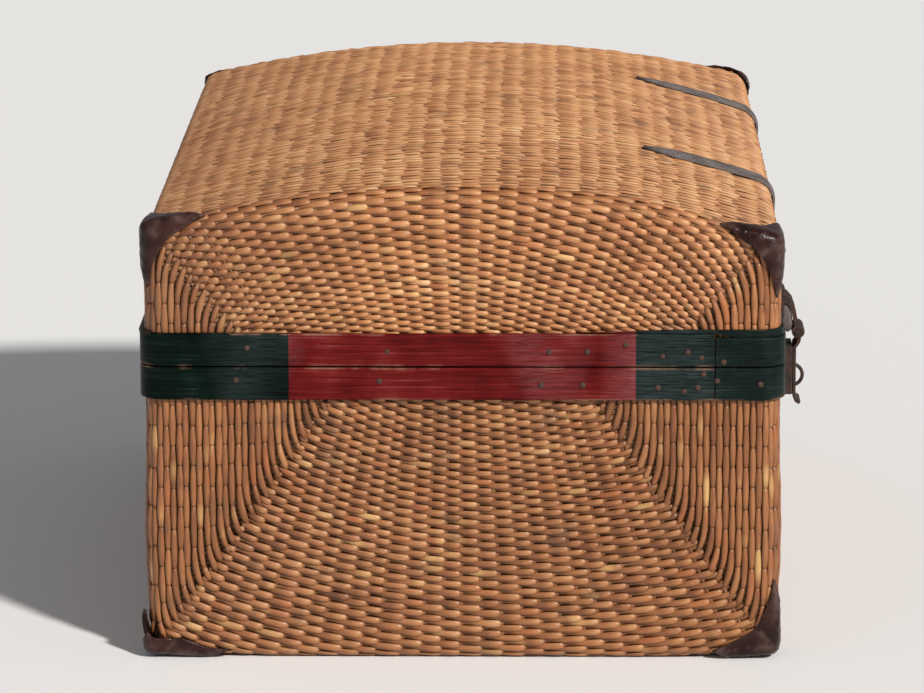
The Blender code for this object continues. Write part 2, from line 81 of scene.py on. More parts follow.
# The rounded shape of the baskets; the upright corners are crisper than the CAD's.
CORNER_R = 0.018
LID_EDGE_R = 0.014
BASE_EDGE_R = 0.012
LID_EDGE_Z = 0.3935
END_RISE = 0.033
CROWN = LID_HIGH.z - LID_EDGE_Z - END_RISE
LOWEST_V = BASE_EDGE_R * (1 - math.pi / 2)  # height along a wall where it turns level
BASE_LIFT = 0.008
WALL = 0.009
RIM = (BODY_TOP + LID_BOTTOM) / 2  # where the lid meets the body

RNG = np.random.default_rng(7)


# Mesh helpers


def link_new(name, data):
    """An object in the scene for this mesh, light or camera."""
    obj = bpy.data.objects.new(name, data)
    bpy.context.scene.collection.objects.link(obj)
    return obj


def new_object(name, points, faces, material, smooth=True):
    mesh = bpy.data.meshes.new(name)
    mesh.from_pydata([tuple(p) for p in points], [], [tuple(f) for f in faces])
    if smooth:
        mesh.shade_smooth()
    mesh.materials.append(material)
    return link_new(name, mesh)


def add_values(mesh, name, values):
    """Stores one number, or one vector, at each vertex for the materials to read."""
    values = np.asarray(values, np.float32)
    kind = "FLOAT" if values.ndim == 1 else "FLOAT_VECTOR"
    attribute = mesh.attributes.new(name, kind, "POINT")
    attribute.data.foreach_set("value" if values.ndim == 1 else "vector", values.ravel())


def finish_piece(obj, body, slot, **values):
    """Gives a piece its body and the values its material reads; its slot is not used."""
    for name, numbers in values.items():
        add_values(obj.data, name, numbers)
    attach(obj, body)
    return obj


def grid_faces(lines, length):
    """Faces between neighbouring lines of points, each line of the same length."""
    faces = []
    for line in range(lines - 1):
        for step in range(length - 1):
            first = line * length + step
            faces.append((first, first + 1, first + length + 1, first + length))
    return faces


def x_span(node):
    """A CAD node's middle and width along x."""
    low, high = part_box(node)
    return (low.x + high.x) / 2, high.x - low.x


def hill(x, width, power=2):
    """1 where x is 0, falling away on both sides of it over about a width."""
    return np.exp(-((x / width) ** power))


def unit(vectors):
    return vectors / np.maximum(np.linalg.norm(vectors, axis=-1, keepdims=True), 1e-12)


# The trunk's surface


DENT = 0.011  # how far the lid's front left corner has sunk


def top_z(x, y):
    across = np.maximum(0, 1 - (y / HALF_D) ** 2)
    along = np.maximum(0, 1 - (x / HALF_L) ** 2)
    dent = DENT * np.exp(-((x + HALF_L) ** 2 + (y + HALF_D) ** 2) / 0.085**2)
    return LID_EDGE_Z + (END_RISE + CROWN * along) * across - dent


def base_z(x, y):
    along = np.maximum(0, 2 * np.abs(x) / HALF_L - 1)
    across = np.maximum(0, 2 * np.abs(y) / HALF_D - 1)
    return BASE_LIFT * (along * across) ** 2


# Each panel: its outward direction, its right-hand direction, how far out it
# stands and half its length.
PANELS = {
    "left": ((-1, 0), (0, -1), HALF_L, HALF_D),
    "front": ((0, -1), (1, 0), HALF_D, HALF_L),
    "right": ((1, 0), (0, 1), HALF_L, HALF_D),
    "back": ((0, 1), (-1, 0), HALF_D, HALF_L),
}


def plan_point(panel, u, inset):
    """Plan position and outward direction at u along a panel, round its corners."""
    out, right, reach, half = PANELS[panel]
    out, right = np.array(out, float), np.array(right, float)
    flat = half - CORNER_R
    angle = np.maximum(np.abs(u) - flat, 0) / CORNER_R
    direction = np.cos(angle)[:, None] * out + (np.sign(u) * np.sin(angle))[:, None] * right
    centre = (reach - CORNER_R) * out + np.clip(u, -flat, flat)[:, None] * right
    return centre + direction * (CORNER_R - inset)[:, None], direction


def body_surface(panel, u, v):
    """v is the height on the wall; below the edge's radius it goes on round the edge."""
    turn = np.clip((BASE_EDGE_R - v) / BASE_EDGE_R, 0, math.pi / 2)
    past = np.maximum(LOWEST_V - v, 0)
    inset = BASE_EDGE_R * (1 - np.cos(turn)) + past
    bulge = 0.0024 * hill(v - 0.115, 0.06)
    plan, direction = plan_point(panel, u, inset - bulge)
    z = np.where(v > BASE_EDGE_R, v, BASE_EDGE_R * (1 - np.sin(turn)))
    z = z + base_z(plan[:, 0], plan[:, 1]) * np.clip(1 - v / 0.10, 0, 1)
    points = np.column_stack([plan, z])
    normals = np.column_stack([direction * np.cos(turn)[:, None], -np.sin(turn)])
    return points, normals


def lid_edge_v(panel, u):
    """Height at which a lid wall starts to round into the top."""
    plan, _ = plan_point(panel, u, np.zeros_like(u))
    return top_z(plan[:, 0], plan[:, 1]) - LID_EDGE_R


def lid_surface(panel, u, v):
    """v is the height on the wall; above it, the way round the edge and inwards."""
    edge = lid_edge_v(panel, u)
    turn = np.clip((v - edge) / LID_EDGE_R, 0, math.pi / 2)
    past = np.maximum(v - edge - LID_EDGE_R * math.pi / 2, 0)
    inset = LID_EDGE_R * (1 - np.cos(turn)) + past
    plan, direction = plan_point(panel, u, inset)
    high = top_z(plan[:, 0], plan[:, 1]) - LID_EDGE_R * (1 - np.sin(turn))
    z = np.where(v < edge, v, high)
    points = np.column_stack([plan, z])
    normals = np.column_stack([direction * np.cos(turn)[:, None], np.sin(turn)])
    return points, normals


def top_surface(x, y):
    step = 1e-4
    z = top_z(x, y)
    slope_x = (top_z(x + step, y) - z) / step
    slope_y = (top_z(x, y + step) - z) / step
    return np.column_stack([x, y, z]), unit(np.column_stack([-slope_x, -slope_y, np.ones_like(x)]))


def bottom_surface(x, y):
    z = base_z(x, y)
    return np.column_stack([x, y, z]), np.column_stack([0 * x, 0 * x, 0 * x - 1])


# Weaving

SIDES = 6
ROUND = 2 * math.pi * (np.arange(SIDES) + 0.5) / SIDES


def above_floor(points):
    """Presses whatever would dip under the floor flat against it, still in order."""
    under = np.maximum(0.0015 - points[:, 2], 0)
    points[:, 2] += under - 0.0013 * (1 - np.exp(-under / 0.0013))
    return points


class Weave:
    """Collects strands, each a closed tube, into one mesh."""

    def __init__(self):
        self.points, self.faces, self.tone, self.dive, self.fibre = [], [], [], [], []
        self.count = 0

    def strand(self, line, normals, half_width, half_thick, tone, dive):
        """A tube along a line, wider across the surface than it is thick."""
        rows = len(line)
        if rows < 3:
            return
        along = unit(np.gradient(line, axis=0))
        across = unit(np.cross(along, normals))
        up = np.cross(across, along)
        wide = (np.cos(ROUND)[None, :] * half_width[:, None])[:, :, None]
        thick = (np.sin(ROUND)[None, :] * half_thick[:, None])[:, :, None]
        tube = line[:, None, :] + wide * across[:, None, :] + thick * up[:, None, :]
        lengths = np.concatenate([[0], np.cumsum(np.linalg.norm(np.diff(line, axis=0), axis=1))])
        fibre = np.empty((rows, SIDES, 3))
        fibre[:, :, 0] = lengths[:, None]
        # The second value runs round the strand; the material paints shade along the strand's sides from
        # it.
        fibre[:, :, 1] = (0.5 + 0.5 * np.cos(ROUND))[None, :] * 0.006
        fibre[:, :, 2] = RNG.random() * 10
        first = self.count + SIDES * np.arange(rows - 1)[:, None]
        side = np.arange(SIDES)[None, :]
        after = (side + 1) % SIDES
        quads = np.stack([first + side, first + after, first + SIDES + after, first + SIDES + side], -1)
        self.faces.append(quads.reshape(-1, 4)[:, ::-1])
        last = self.count + SIDES * (rows - 1)
        for start, order in ((self.count, (0, 1, 2, 3, 4, 5)), (last, (5, 4, 3, 2, 1, 0))):
            ring = [start + i for i in order]
            self.faces.append(np.array([ring[0:4], [ring[0], ring[3], ring[4], ring[5]]]))
        self.points.append(tube.reshape(-1, 3))
        self.tone.append(np.repeat(tone, SIDES))
        self.dive.append(np.repeat(dive, SIDES))
        self.fibre.append(fibre.reshape(-1, 3))
        self.count += rows * SIDES

    def build(self, name, body, material):
        points = above_floor(np.concatenate(self.points)).astype(np.float32)
        faces = np.concatenate(self.faces).astype(np.int32)
        mesh = bpy.data.meshes.new(name)
        mesh.vertices.add(len(points))
        mesh.vertices.foreach_set("co", points.ravel())
        mesh.loops.add(faces.size)
        mesh.loops.foreach_set("vertex_index", faces.ravel())
        mesh.polygons.add(len(faces))
        mesh.polygons.foreach_set("loop_start", np.arange(len(faces), dtype=np.int32) * 4)
        mesh.update(calc_edges=True)
        mesh.shade_smooth()
        mesh.materials.append(material)
        tone, dive, fibre = (np.concatenate(k) for k in (self.tone, self.dive, self.fibre))
        finish_piece(link_new(name, mesh), body, "wicker", tone=tone, dive=dive, fibre=fibre)


# Along a stretch of row between the two stakes that it passes under, the
# strand climbs slowly, is highest near its right end and dives steeply.
ROW_STEPS = np.array([0, 0.10, 0.22, 0.33, 0.46, 0.64, 0.83, 0.935, 0.975])
UPRIGHT_STEPS = np.array([0, 0.022, 0.07, 0.25, 0.50, 0.75, 0.93, 0.978])


def row_height(f):
    """From -1 under a stake to 1 over the next."""
    climb = hill(f, 0.36, 3)
    fall = hill(1 - f, 0.045)
    return 1 - 2 * np.clip(climb + fall, 0, 1)


def row_drift(f):
    """How a stretch slants across its row."""
    return (1 - 2 * f) * (1 - hill(np.minimum(f, 1 - f), 0.06))


def upright_height(f):
    near = np.minimum(f, 1 - f)
    return 1 - 1.5 * hill(near, 0.025) - 0.5 * hill(near, 0.2)


def stretch_samples(dives, steps, start, end):
    """Positions along a strand, and how far each is through its stretch.

    Also gives each sample's stretch number, for what varies by the stretch."""
    gaps = np.diff(dives)
    where = (dives[:-1, None] + gaps[:, None] * steps[None, :]).ravel()
    share = np.tile(steps, len(gaps))
    number = np.repeat(np.arange(len(gaps)), len(steps))
    keep = (where > start + 0.0008) & (where < end - 0.0008)
    ends = np.array([start, end])
    index = np.clip(np.searchsorted(dives, ends, side="right") - 1, 0, len(gaps) - 1)
    end_share = np.clip((ends - dives[index]) / gaps[index], 0, 1)
    where = np.concatenate([[start], where[keep], [end]])
    share = np.concatenate([[end_share[0]], share[keep], [end_share[1]]])
    number = np.concatenate([[index[0]], number[keep], [index[1]]])
    return where, share, number


def by_stretch(number, middle, spread):
    """A random value for each stretch, at every sample of it."""
    return RNG.normal(middle, spread, number.max() + 1)[number]


def end_dip(where, start, end, reach=0.005):
    """1 at a strand's two ends, falling to 0 away from them."""
    near = np.minimum(where - start, end - where)
    return hill(near, reach)


def weave_row(weave, place, start, end, dives, pitch, sink=0.0021, flat=False):
    """One row. place(u, drift) gives points on the surface and their normals."""
    relief, rise, slant, swollen = 0.0009, 0.0005, 0.20, 0.17
    if flat:
        relief, rise, slant, swollen = 0.0005, 0.0, 0.05, 0.10
    where, share, number = stretch_samples(dives, ROW_STEPS, start, end)
    if len(where) < 4:
        return
    height = row_height(share)
    over = 0.5 + 0.5 * height
    dip = end_dip(where, start, end)
    drift = slant * pitch * row_drift(share)
    points, normals = place(where, drift)
    lift = relief * height + rise * (share - 0.5) - 0.0022 * dip - sink
    points = points + normals * lift[:, None]
    swell = by_stretch(number, 1, 0.05)
    belly = hill(share - 0.72, 0.2)
    pinch = 1 - 0.22 * hill(np.minimum(share, 1 - share), 0.05)
    wide = pitch * (0.55 + swollen * over + 0.04 * belly) * pinch * swell * (1 - 0.3 * dip)
    thick = pitch * (0.18 + 0.06 * over) * swell
    # Painted highlight towards each stretch's right end, partly also rubbed pale, and painted shade at
    # its start where it comes out from under.
    highlight_and_rub = 1.6 * hill(share - 0.84, 0.15) - 0.6
    tone = RNG.normal(0, 0.30) + by_stretch(number, 0, 0.34) + highlight_and_rub
    weave.strand(points, normals, wide, thick, tone, np.minimum(height, 1 - 2 * dip))


def weave_upright(weave, place, start, end, dives, pitch, sink=0.0022, relief=0.0007):
    where, share, number = stretch_samples(dives, UPRIGHT_STEPS, start, end)
    if len(where) < 4:
        return
    height = upright_height(share)
    dip = end_dip(where, start, end, 0.003)
    belly = np.sin(math.pi * share)
    points, normals = place(where, 0.0)
    lift = relief * height - 0.0016 * dip - sink
    points = points + normals * lift[:, None]
    swell = by_stretch(number, 1, 0.05)
    wide = pitch * (0.41 + 0.16 * belly) * swell * (1 - 0.3 * dip)
    thick = pitch * (0.27 + 0.09 * belly) * swell
    tone = RNG.normal(-0.4, 0.40) + by_stretch(number, 0, 0.25)
    weave.strand(points, normals, wide, thick, tone, np.minimum(height, 1 - 2 * dip))


def weave_stake(weave, points, normals, width=0.0016, sink=0.0030):
    count = len(points)
    points = points - normals * sink
    thick = np.full(count, width)
    # Stakes are toned dark and given a low dive, which is painted shade for where they lie under the
    # rows.
    tone = np.full(count, RNG.normal(-0.6, 0.3))
    weave.strand(points, normals, thick, thick * 0.7, tone, np.full(count, -0.4))


def runs(mask):
    """First and last index of every unbroken stretch of True."""
    edges = np.flatnonzero(np.diff(np.concatenate([[0], mask.astype(int), [0]])))
    return list(zip(edges[::2], edges[1::2] - 1))


# The mitres: how steep they are, and where they start on a wall.
BODY_MITRE_SLOPE = 0.678
BODY_MITRE_V = 0.006
LID_MITRE_SLOPE = 0.86
LID_MITRE_V = 0.298
LID_MITRE_INSET = 0.080
SHORT_HALF = 0.3  # half an end is shorter than this, and half a long side longer
LONG_SIDE_STAKES = 0.0145  # the spacing of stakes that the long sides keep near to
LID_END_ARCH = 0.72  # how much the rows on the lid's ends arch
WEAVE_UNDER_BAND = 0.020  # how far from the rim the strands stop, behind the bands


class Side:
    """How one panel of a basket is laid out."""

    def __init__(self, panel):
        self.panel = panel
        self.half = PANELS[panel][3]
        self.reach = self.half - CORNER_R + CORNER_R * math.pi / 4
        self.jitter = RNG.normal(0, 0.07, 400)

    def place_row(self, row_v):
        def place(u, drift):
            return self.surface(self.panel, u, row_v(u) + drift)

        return place

    def place_upright(self, at_u):
        """Upright strands bend inwards where they meet the rows on the mitre."""

        def place(v, drift):
            away = np.abs(v - self.mitre_v(at_u))
            bend = -np.sign(at_u) * 0.0075 * hill(away, 0.013, 1.3)
            return self.surface(self.panel, at_u + bend + drift, v)

        return place

    def stake_u(self, k, v):
        """Place of stake k at height v: the stakes fan out away from the rim."""
        return (k + self.jitter[k + 200]) * self.interval(v)

    def spread(self, interval):
        """Long sides fan out less than the ends do."""
        if self.half < SHORT_HALF:
            return interval
        return LONG_SIDE_STAKES + 0.4 * (interval - LONG_SIDE_STAKES)


def bent_up(u, mitre, rise=0.0035, reach=0.018):
    """A row's rise close to its mitre."""
    return rise * np.exp(-np.maximum(mitre - np.abs(u), 0) / reach)


class BodySide(Side):
    surface = staticmethod(body_surface)
    low, high = LOWEST_V, BODY_TOP - WEAVE_UNDER_BAND
    stake_from = 0.0

    def top(self, u):
        return np.full_like(u, self.high)

    def upright_span(self, at):
        return max(self.mitre_v(at), self.low), self.high

    def mitre(self, v):
        """Half the rows' length at height v."""
        return self.half - 0.003 - BODY_MITRE_SLOPE * (v - BODY_MITRE_V)

    def mitre_v(self, u):
        return BODY_MITRE_V + (self.half - 0.003 - np.abs(u)) / BODY_MITRE_SLOPE

    def interval(self, v):
        return self.spread(0.0185 - 0.030 * np.clip(v, 0, 0.25))

    def row_v(self, v0):
        """Rows sag towards the middle, the more so the higher they are."""
        sag = 0.45 + 2.2 * max(v0, 0)
        reach = 0.28 if self.half > SHORT_HALF else 1.0

        def curve(u):
            v = v0 + sag * np.minimum(u * u, reach) * (0.28 / self.half) ** 2
            return v + bent_up(u, self.mitre(v))

        return curve

    def pitch(self, v):
        return 0.00392 + 0.00085 * np.clip((0.16 - v) / 0.13, 0, 1)

    def row_starts(self):
        v = -0.034
        while v < self.high:
            pitch = self.pitch(v)
            yield v, pitch
            v += pitch


class LidSide(Side):
    surface = staticmethod(lid_surface)
    low = LID_BOTTOM + WEAVE_UNDER_BAND
    stake_from = 0.40

    def top(self, u):
        over_edge = LID_EDGE_R * math.pi / 2 if self.half < SHORT_HALF else 0.0015
        return lid_edge_v(self.panel, u) + over_edge

    def upright_span(self, at):
        return self.low, min(self.mitre_v(at), self.top(np.array([at]))[0] - 0.004)

    def mitre(self, v):
        return self.half - LID_MITRE_INSET + LID_MITRE_SLOPE * (v - LID_MITRE_V)

    def mitre_v(self, u):
        return LID_MITRE_V + (np.abs(u) - self.half + LID_MITRE_INSET) / LID_MITRE_SLOPE

    def interval(self, v):
        return self.spread(0.0123 + 0.047 * np.clip(v - 0.327, -0.03, 0.09))

    def row_v(self, v0):
        """Rows arch, on the ends more than the lid's edge does."""
        arch = LID_END_ARCH if self.half < SHORT_HALF else 0.06

        def curve(u):
            v = v0 - arch * u * u
            return v - bent_up(u, self.mitre(v))

        return curve

    def row_starts(self):
        v = self.low
        last = self.top(np.zeros(1))[0]
        if self.half < SHORT_HALF:
            last += LID_END_ARCH * self.half**2
        while v < last:
            pitch = 0.0034 + 0.00118 * np.clip((v - 0.325) / 0.07, 0, 1)
            yield v, pitch
            v += pitch


def weave_side(weave, side):
    u = np.linspace(-side.reach, side.reach, 600)
    numbers = np.arange(-60, 61)
    for r, (v0, pitch) in enumerate(side.row_starts()):
        curve = side.row_v(v0 + RNG.normal(0, 0.0002))
        v = curve(u)
        inside = (np.abs(u) < side.mitre(v)) & (v > side.low) & (v < side.top(u))
        chosen = numbers[(numbers + r) % 2 == 0]
        place_k = side.stake_u(chosen, v0)
        place_k = side.stake_u(chosen, curve(place_k)) + RNG.normal(0, 0.0004, len(chosen))
        for first, last in runs(inside):
            if u[last] - u[first] < 0.02:
                continue
            start, end = u[first] - 0.001, u[last] + 0.001
            weave_row(weave, side.place_row(curve), start, end, place_k, pitch)
    for k in numbers:
        at = side.stake_u(k, side.stake_from)
        if abs(at) > side.reach - 0.01:
            continue
        v = np.linspace(side.low, side.top(np.array([at]))[0], 14)
        line_u = side.stake_u(k, v)
        keep = np.abs(line_u) < side.mitre(v)
        if keep.sum() < 3:
            continue
        points, normals = side.surface(side.panel, line_u[keep], v[keep])
        weave_stake(weave, points, normals)
    pitch = 0.0058
    count = int(side.reach / pitch)
    levels = side.low - 0.04 + 0.0185 * np.arange(24)
    for sign in (-1, 1):
        for s in range(count):
            at = side.reach - pitch * (s + 0.5)
            start, end = side.upright_span(at)
            if end - start < 0.012:
                break
            at = sign * (at + RNG.normal(0, 0.0003))
            dives = levels[s % 2 :: 2] + 0.03 * (side.half - abs(at))
            dives = dives + RNG.normal(0, 0.0007, len(dives))
            weave_upright(weave, side.place_upright(at), start, end, dives, pitch)


def top_edge_y(x):
    """Where the top starts to round over its front and back edges."""
    past = np.clip(np.abs(x) - (HALF_L - CORNER_R), 0, CORNER_R)
    return HALF_D - CORNER_R + np.sqrt(CORNER_R**2 - past**2) - LID_EDGE_R


def over_top(x, u):
    """The top, carried on round its front and back edges where u goes past them."""
    edge = top_edge_y(x)
    round_edge = np.clip((np.abs(u) - edge) / LID_EDGE_R, 0, math.pi / 2)
    turn = math.pi / 2 - round_edge
    y = np.where(round_edge > 0, edge + LID_EDGE_R * np.cos(turn), np.abs(u))
    y = -np.sign(u) * y
    points, normals = top_surface(x, y)
    points[:, 2] -= LID_EDGE_R * (1 - np.sin(turn))
    aside = np.column_stack([0 * x, np.sign(y), 0 * x])
    normals = unit(normals * np.sin(turn)[:, None] + aside * np.cos(turn)[:, None])
    return points, normals


def weave_top(weave, x_low, x_high):
    """Rows across the lid's dome, and over its edges, between two places along it."""
    pitch = 0.0045
    numbers = np.arange(-40, 41)
    x = x_low
    r = 0
    while x < x_high:
        chosen = numbers[(numbers + r) % 2 == 0]
        dives = (chosen + TOP_JITTER[chosen + 40]) * TOP_STAKES
        dives = dives + RNG.normal(0, 0.0020, len(dives))
        waver = RNG.normal(0, 0.0004)
        phase = RNG.random() * 6

        def place(u, drift, at=x + waver, phase=phase):
            wave = 0.0007 * np.sin(u * 23 + phase) + 0.0005 * np.sin(u * 61 + 2 * phase)
            return over_top(at - drift + wave, u)

        end = top_edge_y(x) + LID_EDGE_R * math.pi / 2
        weave_row(weave, place, -end, end, dives, pitch, sink=0.0018, flat=True)
        x += pitch
        r += 1
    for k in numbers:
        at = -(k + TOP_JITTER[k + 40]) * TOP_STAKES
        if abs(at) < HALF_D - LID_EDGE_R:
            line_x = np.linspace(x_low, x_high, 24)
            points, normals = top_surface(line_x, np.full(24, at))
            weave_stake(weave, points, normals)


TOP_STAKES = 0.0175  # from one of the top's stakes to the next
TOP_JITTER = RNG.normal(0, 0.07, 81)


def weave_bottom(weave):
    """Coarser rows along the underside."""
    pitch = 0.0070
    edge_x = HALF_L - BASE_EDGE_R + 0.001
    edge_y = HALF_D - BASE_EDGE_R
    numbers = np.arange(-30, 31)
    for r in range(int(2 * edge_y / pitch) + 1):
        y = -edge_y + r * pitch
        dives = numbers[(numbers + r) % 2 == 0] * 0.026

        def place(u, drift, at=y):
            return bottom_surface(u, at + drift)

        weave_row(weave, place, -edge_x, edge_x, dives, pitch, sink=0.0042)


# Inner walls


def outline(inset, corner_steps=6, side_steps=24, end_steps=18):
    """The trunk's plan at a distance inside the wicker, counter-clockwise."""
    radius = max(CORNER_R - inset, 0.002)
    flat_x = HALF_L - inset - radius
    flat_y = HALF_D - inset - radius
    points = []
    for sign_x, sign_y, start in ((1, 1, 0), (-1, 1, 90), (-1, -1, 180), (1, -1, 270)):
        for k in range(corner_steps + 1):
            angle = math.radians(start + 90 * k / corner_steps)
            x = sign_x * flat_x + radius * math.cos(angle)
            y = sign_y * flat_y + radius * math.sin(angle)
            points.append((x, y))
        on_long_side = start in (0, 180)
        steps = side_steps if on_long_side else end_steps
        x, y = points[-1]
        for k in range(1, steps):
            across = 1 - 2 * k / steps
            points.append((x * across, y) if on_long_side else (x, y * across))
    return np.array(points)


def loft(rows):
    """Points and faces through rows of equal length, each a closed ring, and over both ends."""
    count = len(rows[0])
    points = np.concatenate(rows)
    faces = []
    for low in range(0, len(points) - count, count):
        for i in range(count):
            j = (i + 1) % count
            faces.append((low + i, low + j, low + count + j, low + count + i))
    faces.append(tuple(range(count))[::-1])
    faces.append(tuple(range(len(points) - count, len(points))))
    return points, faces


def ring_at(inset, z, scale=1.0):
    """A ring inside the wicker at height z, a number or a function of the plan."""
    plan = outline(inset) * scale
    height = z(plan[:, 0], plan[:, 1]) if callable(z) else z
    return np.column_stack([plan, np.broadcast_to(height, len(plan))])


LINING_NEAR = 0.0037  # how deep the lining lies inside the wicker's surface
LINING_RIM = 0.0006  # and behind the rim bands


def rim_rings(band_edge, meeting, inwards):
    """A lining's rings from its band's edge to the rim and over it to the inside."""
    return [
        ring_at(LINING_NEAR, band_edge + inwards * 0.008),
        ring_at(LINING_RIM, band_edge + inwards * 0.011),
        ring_at(LINING_RIM, meeting - inwards * 0.0010),
        ring_at(LINING_RIM + 0.0010, meeting),
        ring_at(WALL - 0.0005, meeting),
        ring_at(WALL, meeting - inwards * 0.0010),
    ]


def make_lining(owner, body, rows):
    """The cane's inner layer: what shows between strands, at the rim and inside."""
    obj = new_object(f"{owner}_lining", *loft(rows), LINING)
    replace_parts(finish_piece(obj, body, "wicker"), f"{owner}_basket")


def make_linings():
    near = LINING_NEAR
    rows = [ring_at(near, lambda x, y: base_z(x, y) + near, k) for k in (0.02, 0.5, 0.9)]
    rows.append(ring_at(near, lambda x, y: base_z(x, y) + BASE_EDGE_R))
    rows += rim_rings(BAND_LOW, BODY_TOP, 1)
    for k in range(1, 8):
        height = BASE_EDGE_R + (BODY_TOP - BASE_EDGE_R) * (1 - k / 8)
        rows.append(ring_at(WALL, lambda x, y: base_z(x, y) + height))
    for k in (0.97, 0.7, 0.4, 0.02):
        rows.append(ring_at(WALL, lambda x, y: base_z(x, y) + WALL, k))
    make_lining("body", "trunk_body", rows)

    rows = []
    for k in (0.02, 0.35, 0.7, 0.94):
        rows.append(ring_at(near + LID_EDGE_R, lambda x, y: top_z(x, y) - near, k))
    rows.append(ring_at(near + LID_EDGE_R * 0.6, lambda x, y: top_z(x, y) - near - 0.001))
    rows.append(ring_at(near, lambda x, y: top_z(x, y) - near - LID_EDGE_R * 0.8))
    rows += rim_rings(BAND_HIGH, LID_BOTTOM, -1)
    rows.append(ring_at(WALL, BAND_HIGH))
    rows.append(ring_at(WALL, lambda x, y: top_z(x, y) - WALL - 0.006))
    rows.append(ring_at(WALL + 0.005, lambda x, y: top_z(x, y) - WALL))
    for k in (0.94, 0.7, 0.35, 0.02):
        rows.append(ring_at(WALL, lambda x, y: top_z(x, y) - WALL, k))
    make_lining("lid", "lid", rows[::-1])


# Rim bands

END_RUN = HALF_D - CORNER_R - BAND_JOINT_Y
QUARTER = CORNER_R * math.pi / 2
SIDE_RUN = 2 * (HALF_L - CORNER_R)
FRONT_RUN = BAND_JOINT_Y + HALF_D - CORNER_R
REAR_LENGTH = 2 * END_RUN + 2 * QUARTER + SIDE_RUN
FRONT_LENGTH = 2 * FRONT_RUN + 2 * QUARTER + SIDE_RUN


def follow(s, front):
    """Plan place and outward direction at s along the rear or front band.

    s starts at the left end's joint; the rear band goes clockwise from there
    as seen from above, and the front band the other way."""
    turn = -1 if front else 1
    straight = FRONT_RUN if front else END_RUN
    legs = [straight, QUARTER, SIDE_RUN, QUARTER, straight]
    flat_y = turn * (HALF_D - CORNER_R)
    start_y = flat_y - turn * straight
    bounds = np.concatenate([[0], np.cumsum(legs)])
    leg = np.clip(np.searchsorted(bounds, s, side="right") - 1, 0, 4)
    t = s - bounds[leg]
    angle = np.where(leg == 1, t / CORNER_R, np.where(leg == 3, t / CORNER_R, 0))
    out_x = np.select([leg == 0, leg == 1, leg == 2, leg == 3], [-1, -np.cos(angle), 0, np.sin(angle)], 1)
    out_y = np.select([leg == 0, leg == 1, leg == 2, leg == 3], [0, np.sin(angle), 1, np.cos(angle)], 0)
    inner = HALF_L - CORNER_R
    centre_x = np.select([leg <= 1, leg == 2], [-inner, -inner + t], inner)
    reach = HALF_D - CORNER_R
    centre_y = np.select([leg == 0, leg == 4], [start_y * turn + t, reach - t], reach)
    x = centre_x + CORNER_R * out_x
    y = turn * (centre_y + CORNER_R * out_y)
    return np.column_stack([x, y]), np.column_stack([out_x, turn * out_y])


def waver(s, size, seed):
    """A slow, small, smooth wandering along s."""
    total = 0
    for k, length in enumerate((0.31, 0.13, 0.047, 0.021)):
        total = total + np.sin(2 * math.pi * s / length + seed * (k + 1) * 1.7) * (0.5**k)
    return size * total / 1.5


def band_profile(high, thick, ease):
    """(outwards, up, wear) round a band's section; wear is 1 on its outer edges."""
    points = [(0.0, 0.0, 0.0), (thick - ease, 0.0, 0.6)]
    points += [(thick - ease * 0.3, ease * 0.3, 1.0), (thick, ease, 0.7), (thick, ease * 2.6, 0.0)]
    points += [(thick, high * 0.34, 0.0), (thick, high * 0.67, 0.0)]
    mirrored = [(out, high - up, wear) for out, up, wear in points[:5]]
    return points + mirrored[::-1]


def sweep_band(name, body, s_values, front, low, profile_at, node):
    """Carries a section, which may change with s, along a band's route."""
    plan, out = follow(s_values, front)
    rows, wear, fibre = [], [], []
    for i, s in enumerate(s_values):
        section = profile_at(s)
        rows.append([(*(plan[i] + out[i] * outwards), low + up) for outwards, up, _ in section])
        wear += [worn for _, _, worn in section]
        fibre += [(s, up, outwards) for outwards, up, _ in section]
    points, faces = loft(rows)
    if front:
        faces = [face[::-1] for face in faces]
    obj = new_object(name, points, faces, PAINT)
    obj.data.set_sharp_from_angle(angle=math.radians(50))
    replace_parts(finish_piece(obj, body, "painted_wood", wear=wear, fibre=fibre), node)


FRONT_BAND_DROP = 0.0034  # how much lower the lid's front band stands than its rear one


def make_bands():
    gap = 0.0003
    thick = BAND_OUT - gap
    for owner, body, low, high in (
        ("body", "trunk_body", BAND_LOW, BODY_TOP),
        ("lid", "lid", LID_BOTTOM, BAND_HIGH),
    ):
        for front, length in ((False, REAR_LENGTH), (True, FRONT_LENGTH)):
            span = "front" if front else "rear"
            seed = RNG.random() * 6
            begin = 0.0012 if front else 0.0
            s_values = np.arange(begin, length - begin, 0.006)
            s_values = np.append(s_values, length - begin)
            if front and owner == "lid":
                high -= FRONT_BAND_DROP

            def profile_at(s, seed=seed, low=low, high=high):
                low_edge = max(waver(s, 0.00025, seed), -0.0003)
                high_edge = min(waver(s, 0.00025, seed + 2), 0.0003)
                swell = waver(s, 0.00016, seed + 4)
                section = band_profile(high - low + high_edge - low_edge, thick + swell, 0.0010)
                return [(gap + out, up + low_edge, wear) for out, up, wear in section]

            name = f"{owner}_rim_band_{span}"
            sweep_band(f"{name}_wood", body, s_values, front, low, profile_at, name)


def make_slip():
    """The thin slip above the lid's front band, tapering out along the left end."""
    low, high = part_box("lid_rim_slip")
    full = high.z - low.z
    start = 0.100 + BAND_JOINT_Y
    end = FRONT_RUN + QUARTER + 0.040
    s_values = np.arange(start, end, 0.005)

    def profile_at(s):
        share = min(max((s - start) / (-0.030 - start), 0), 1)
        foot = -FRONT_BAND_DROP * min(max(s / 0.02, 0), 1)
        top = (full - FRONT_BAND_DROP) * (0.12 + 0.88 * share) + waver(s, 0.0003, 3.1)
        section = band_profile(top - foot, 0.0030, 0.0004)
        return [(0.0003 + out, up + foot, wear) for out, up, wear in section]

    sweep_band("lid_slip_wood", "lid", s_values, True, low.z, profile_at, "lid_rim_slip")


# Leather


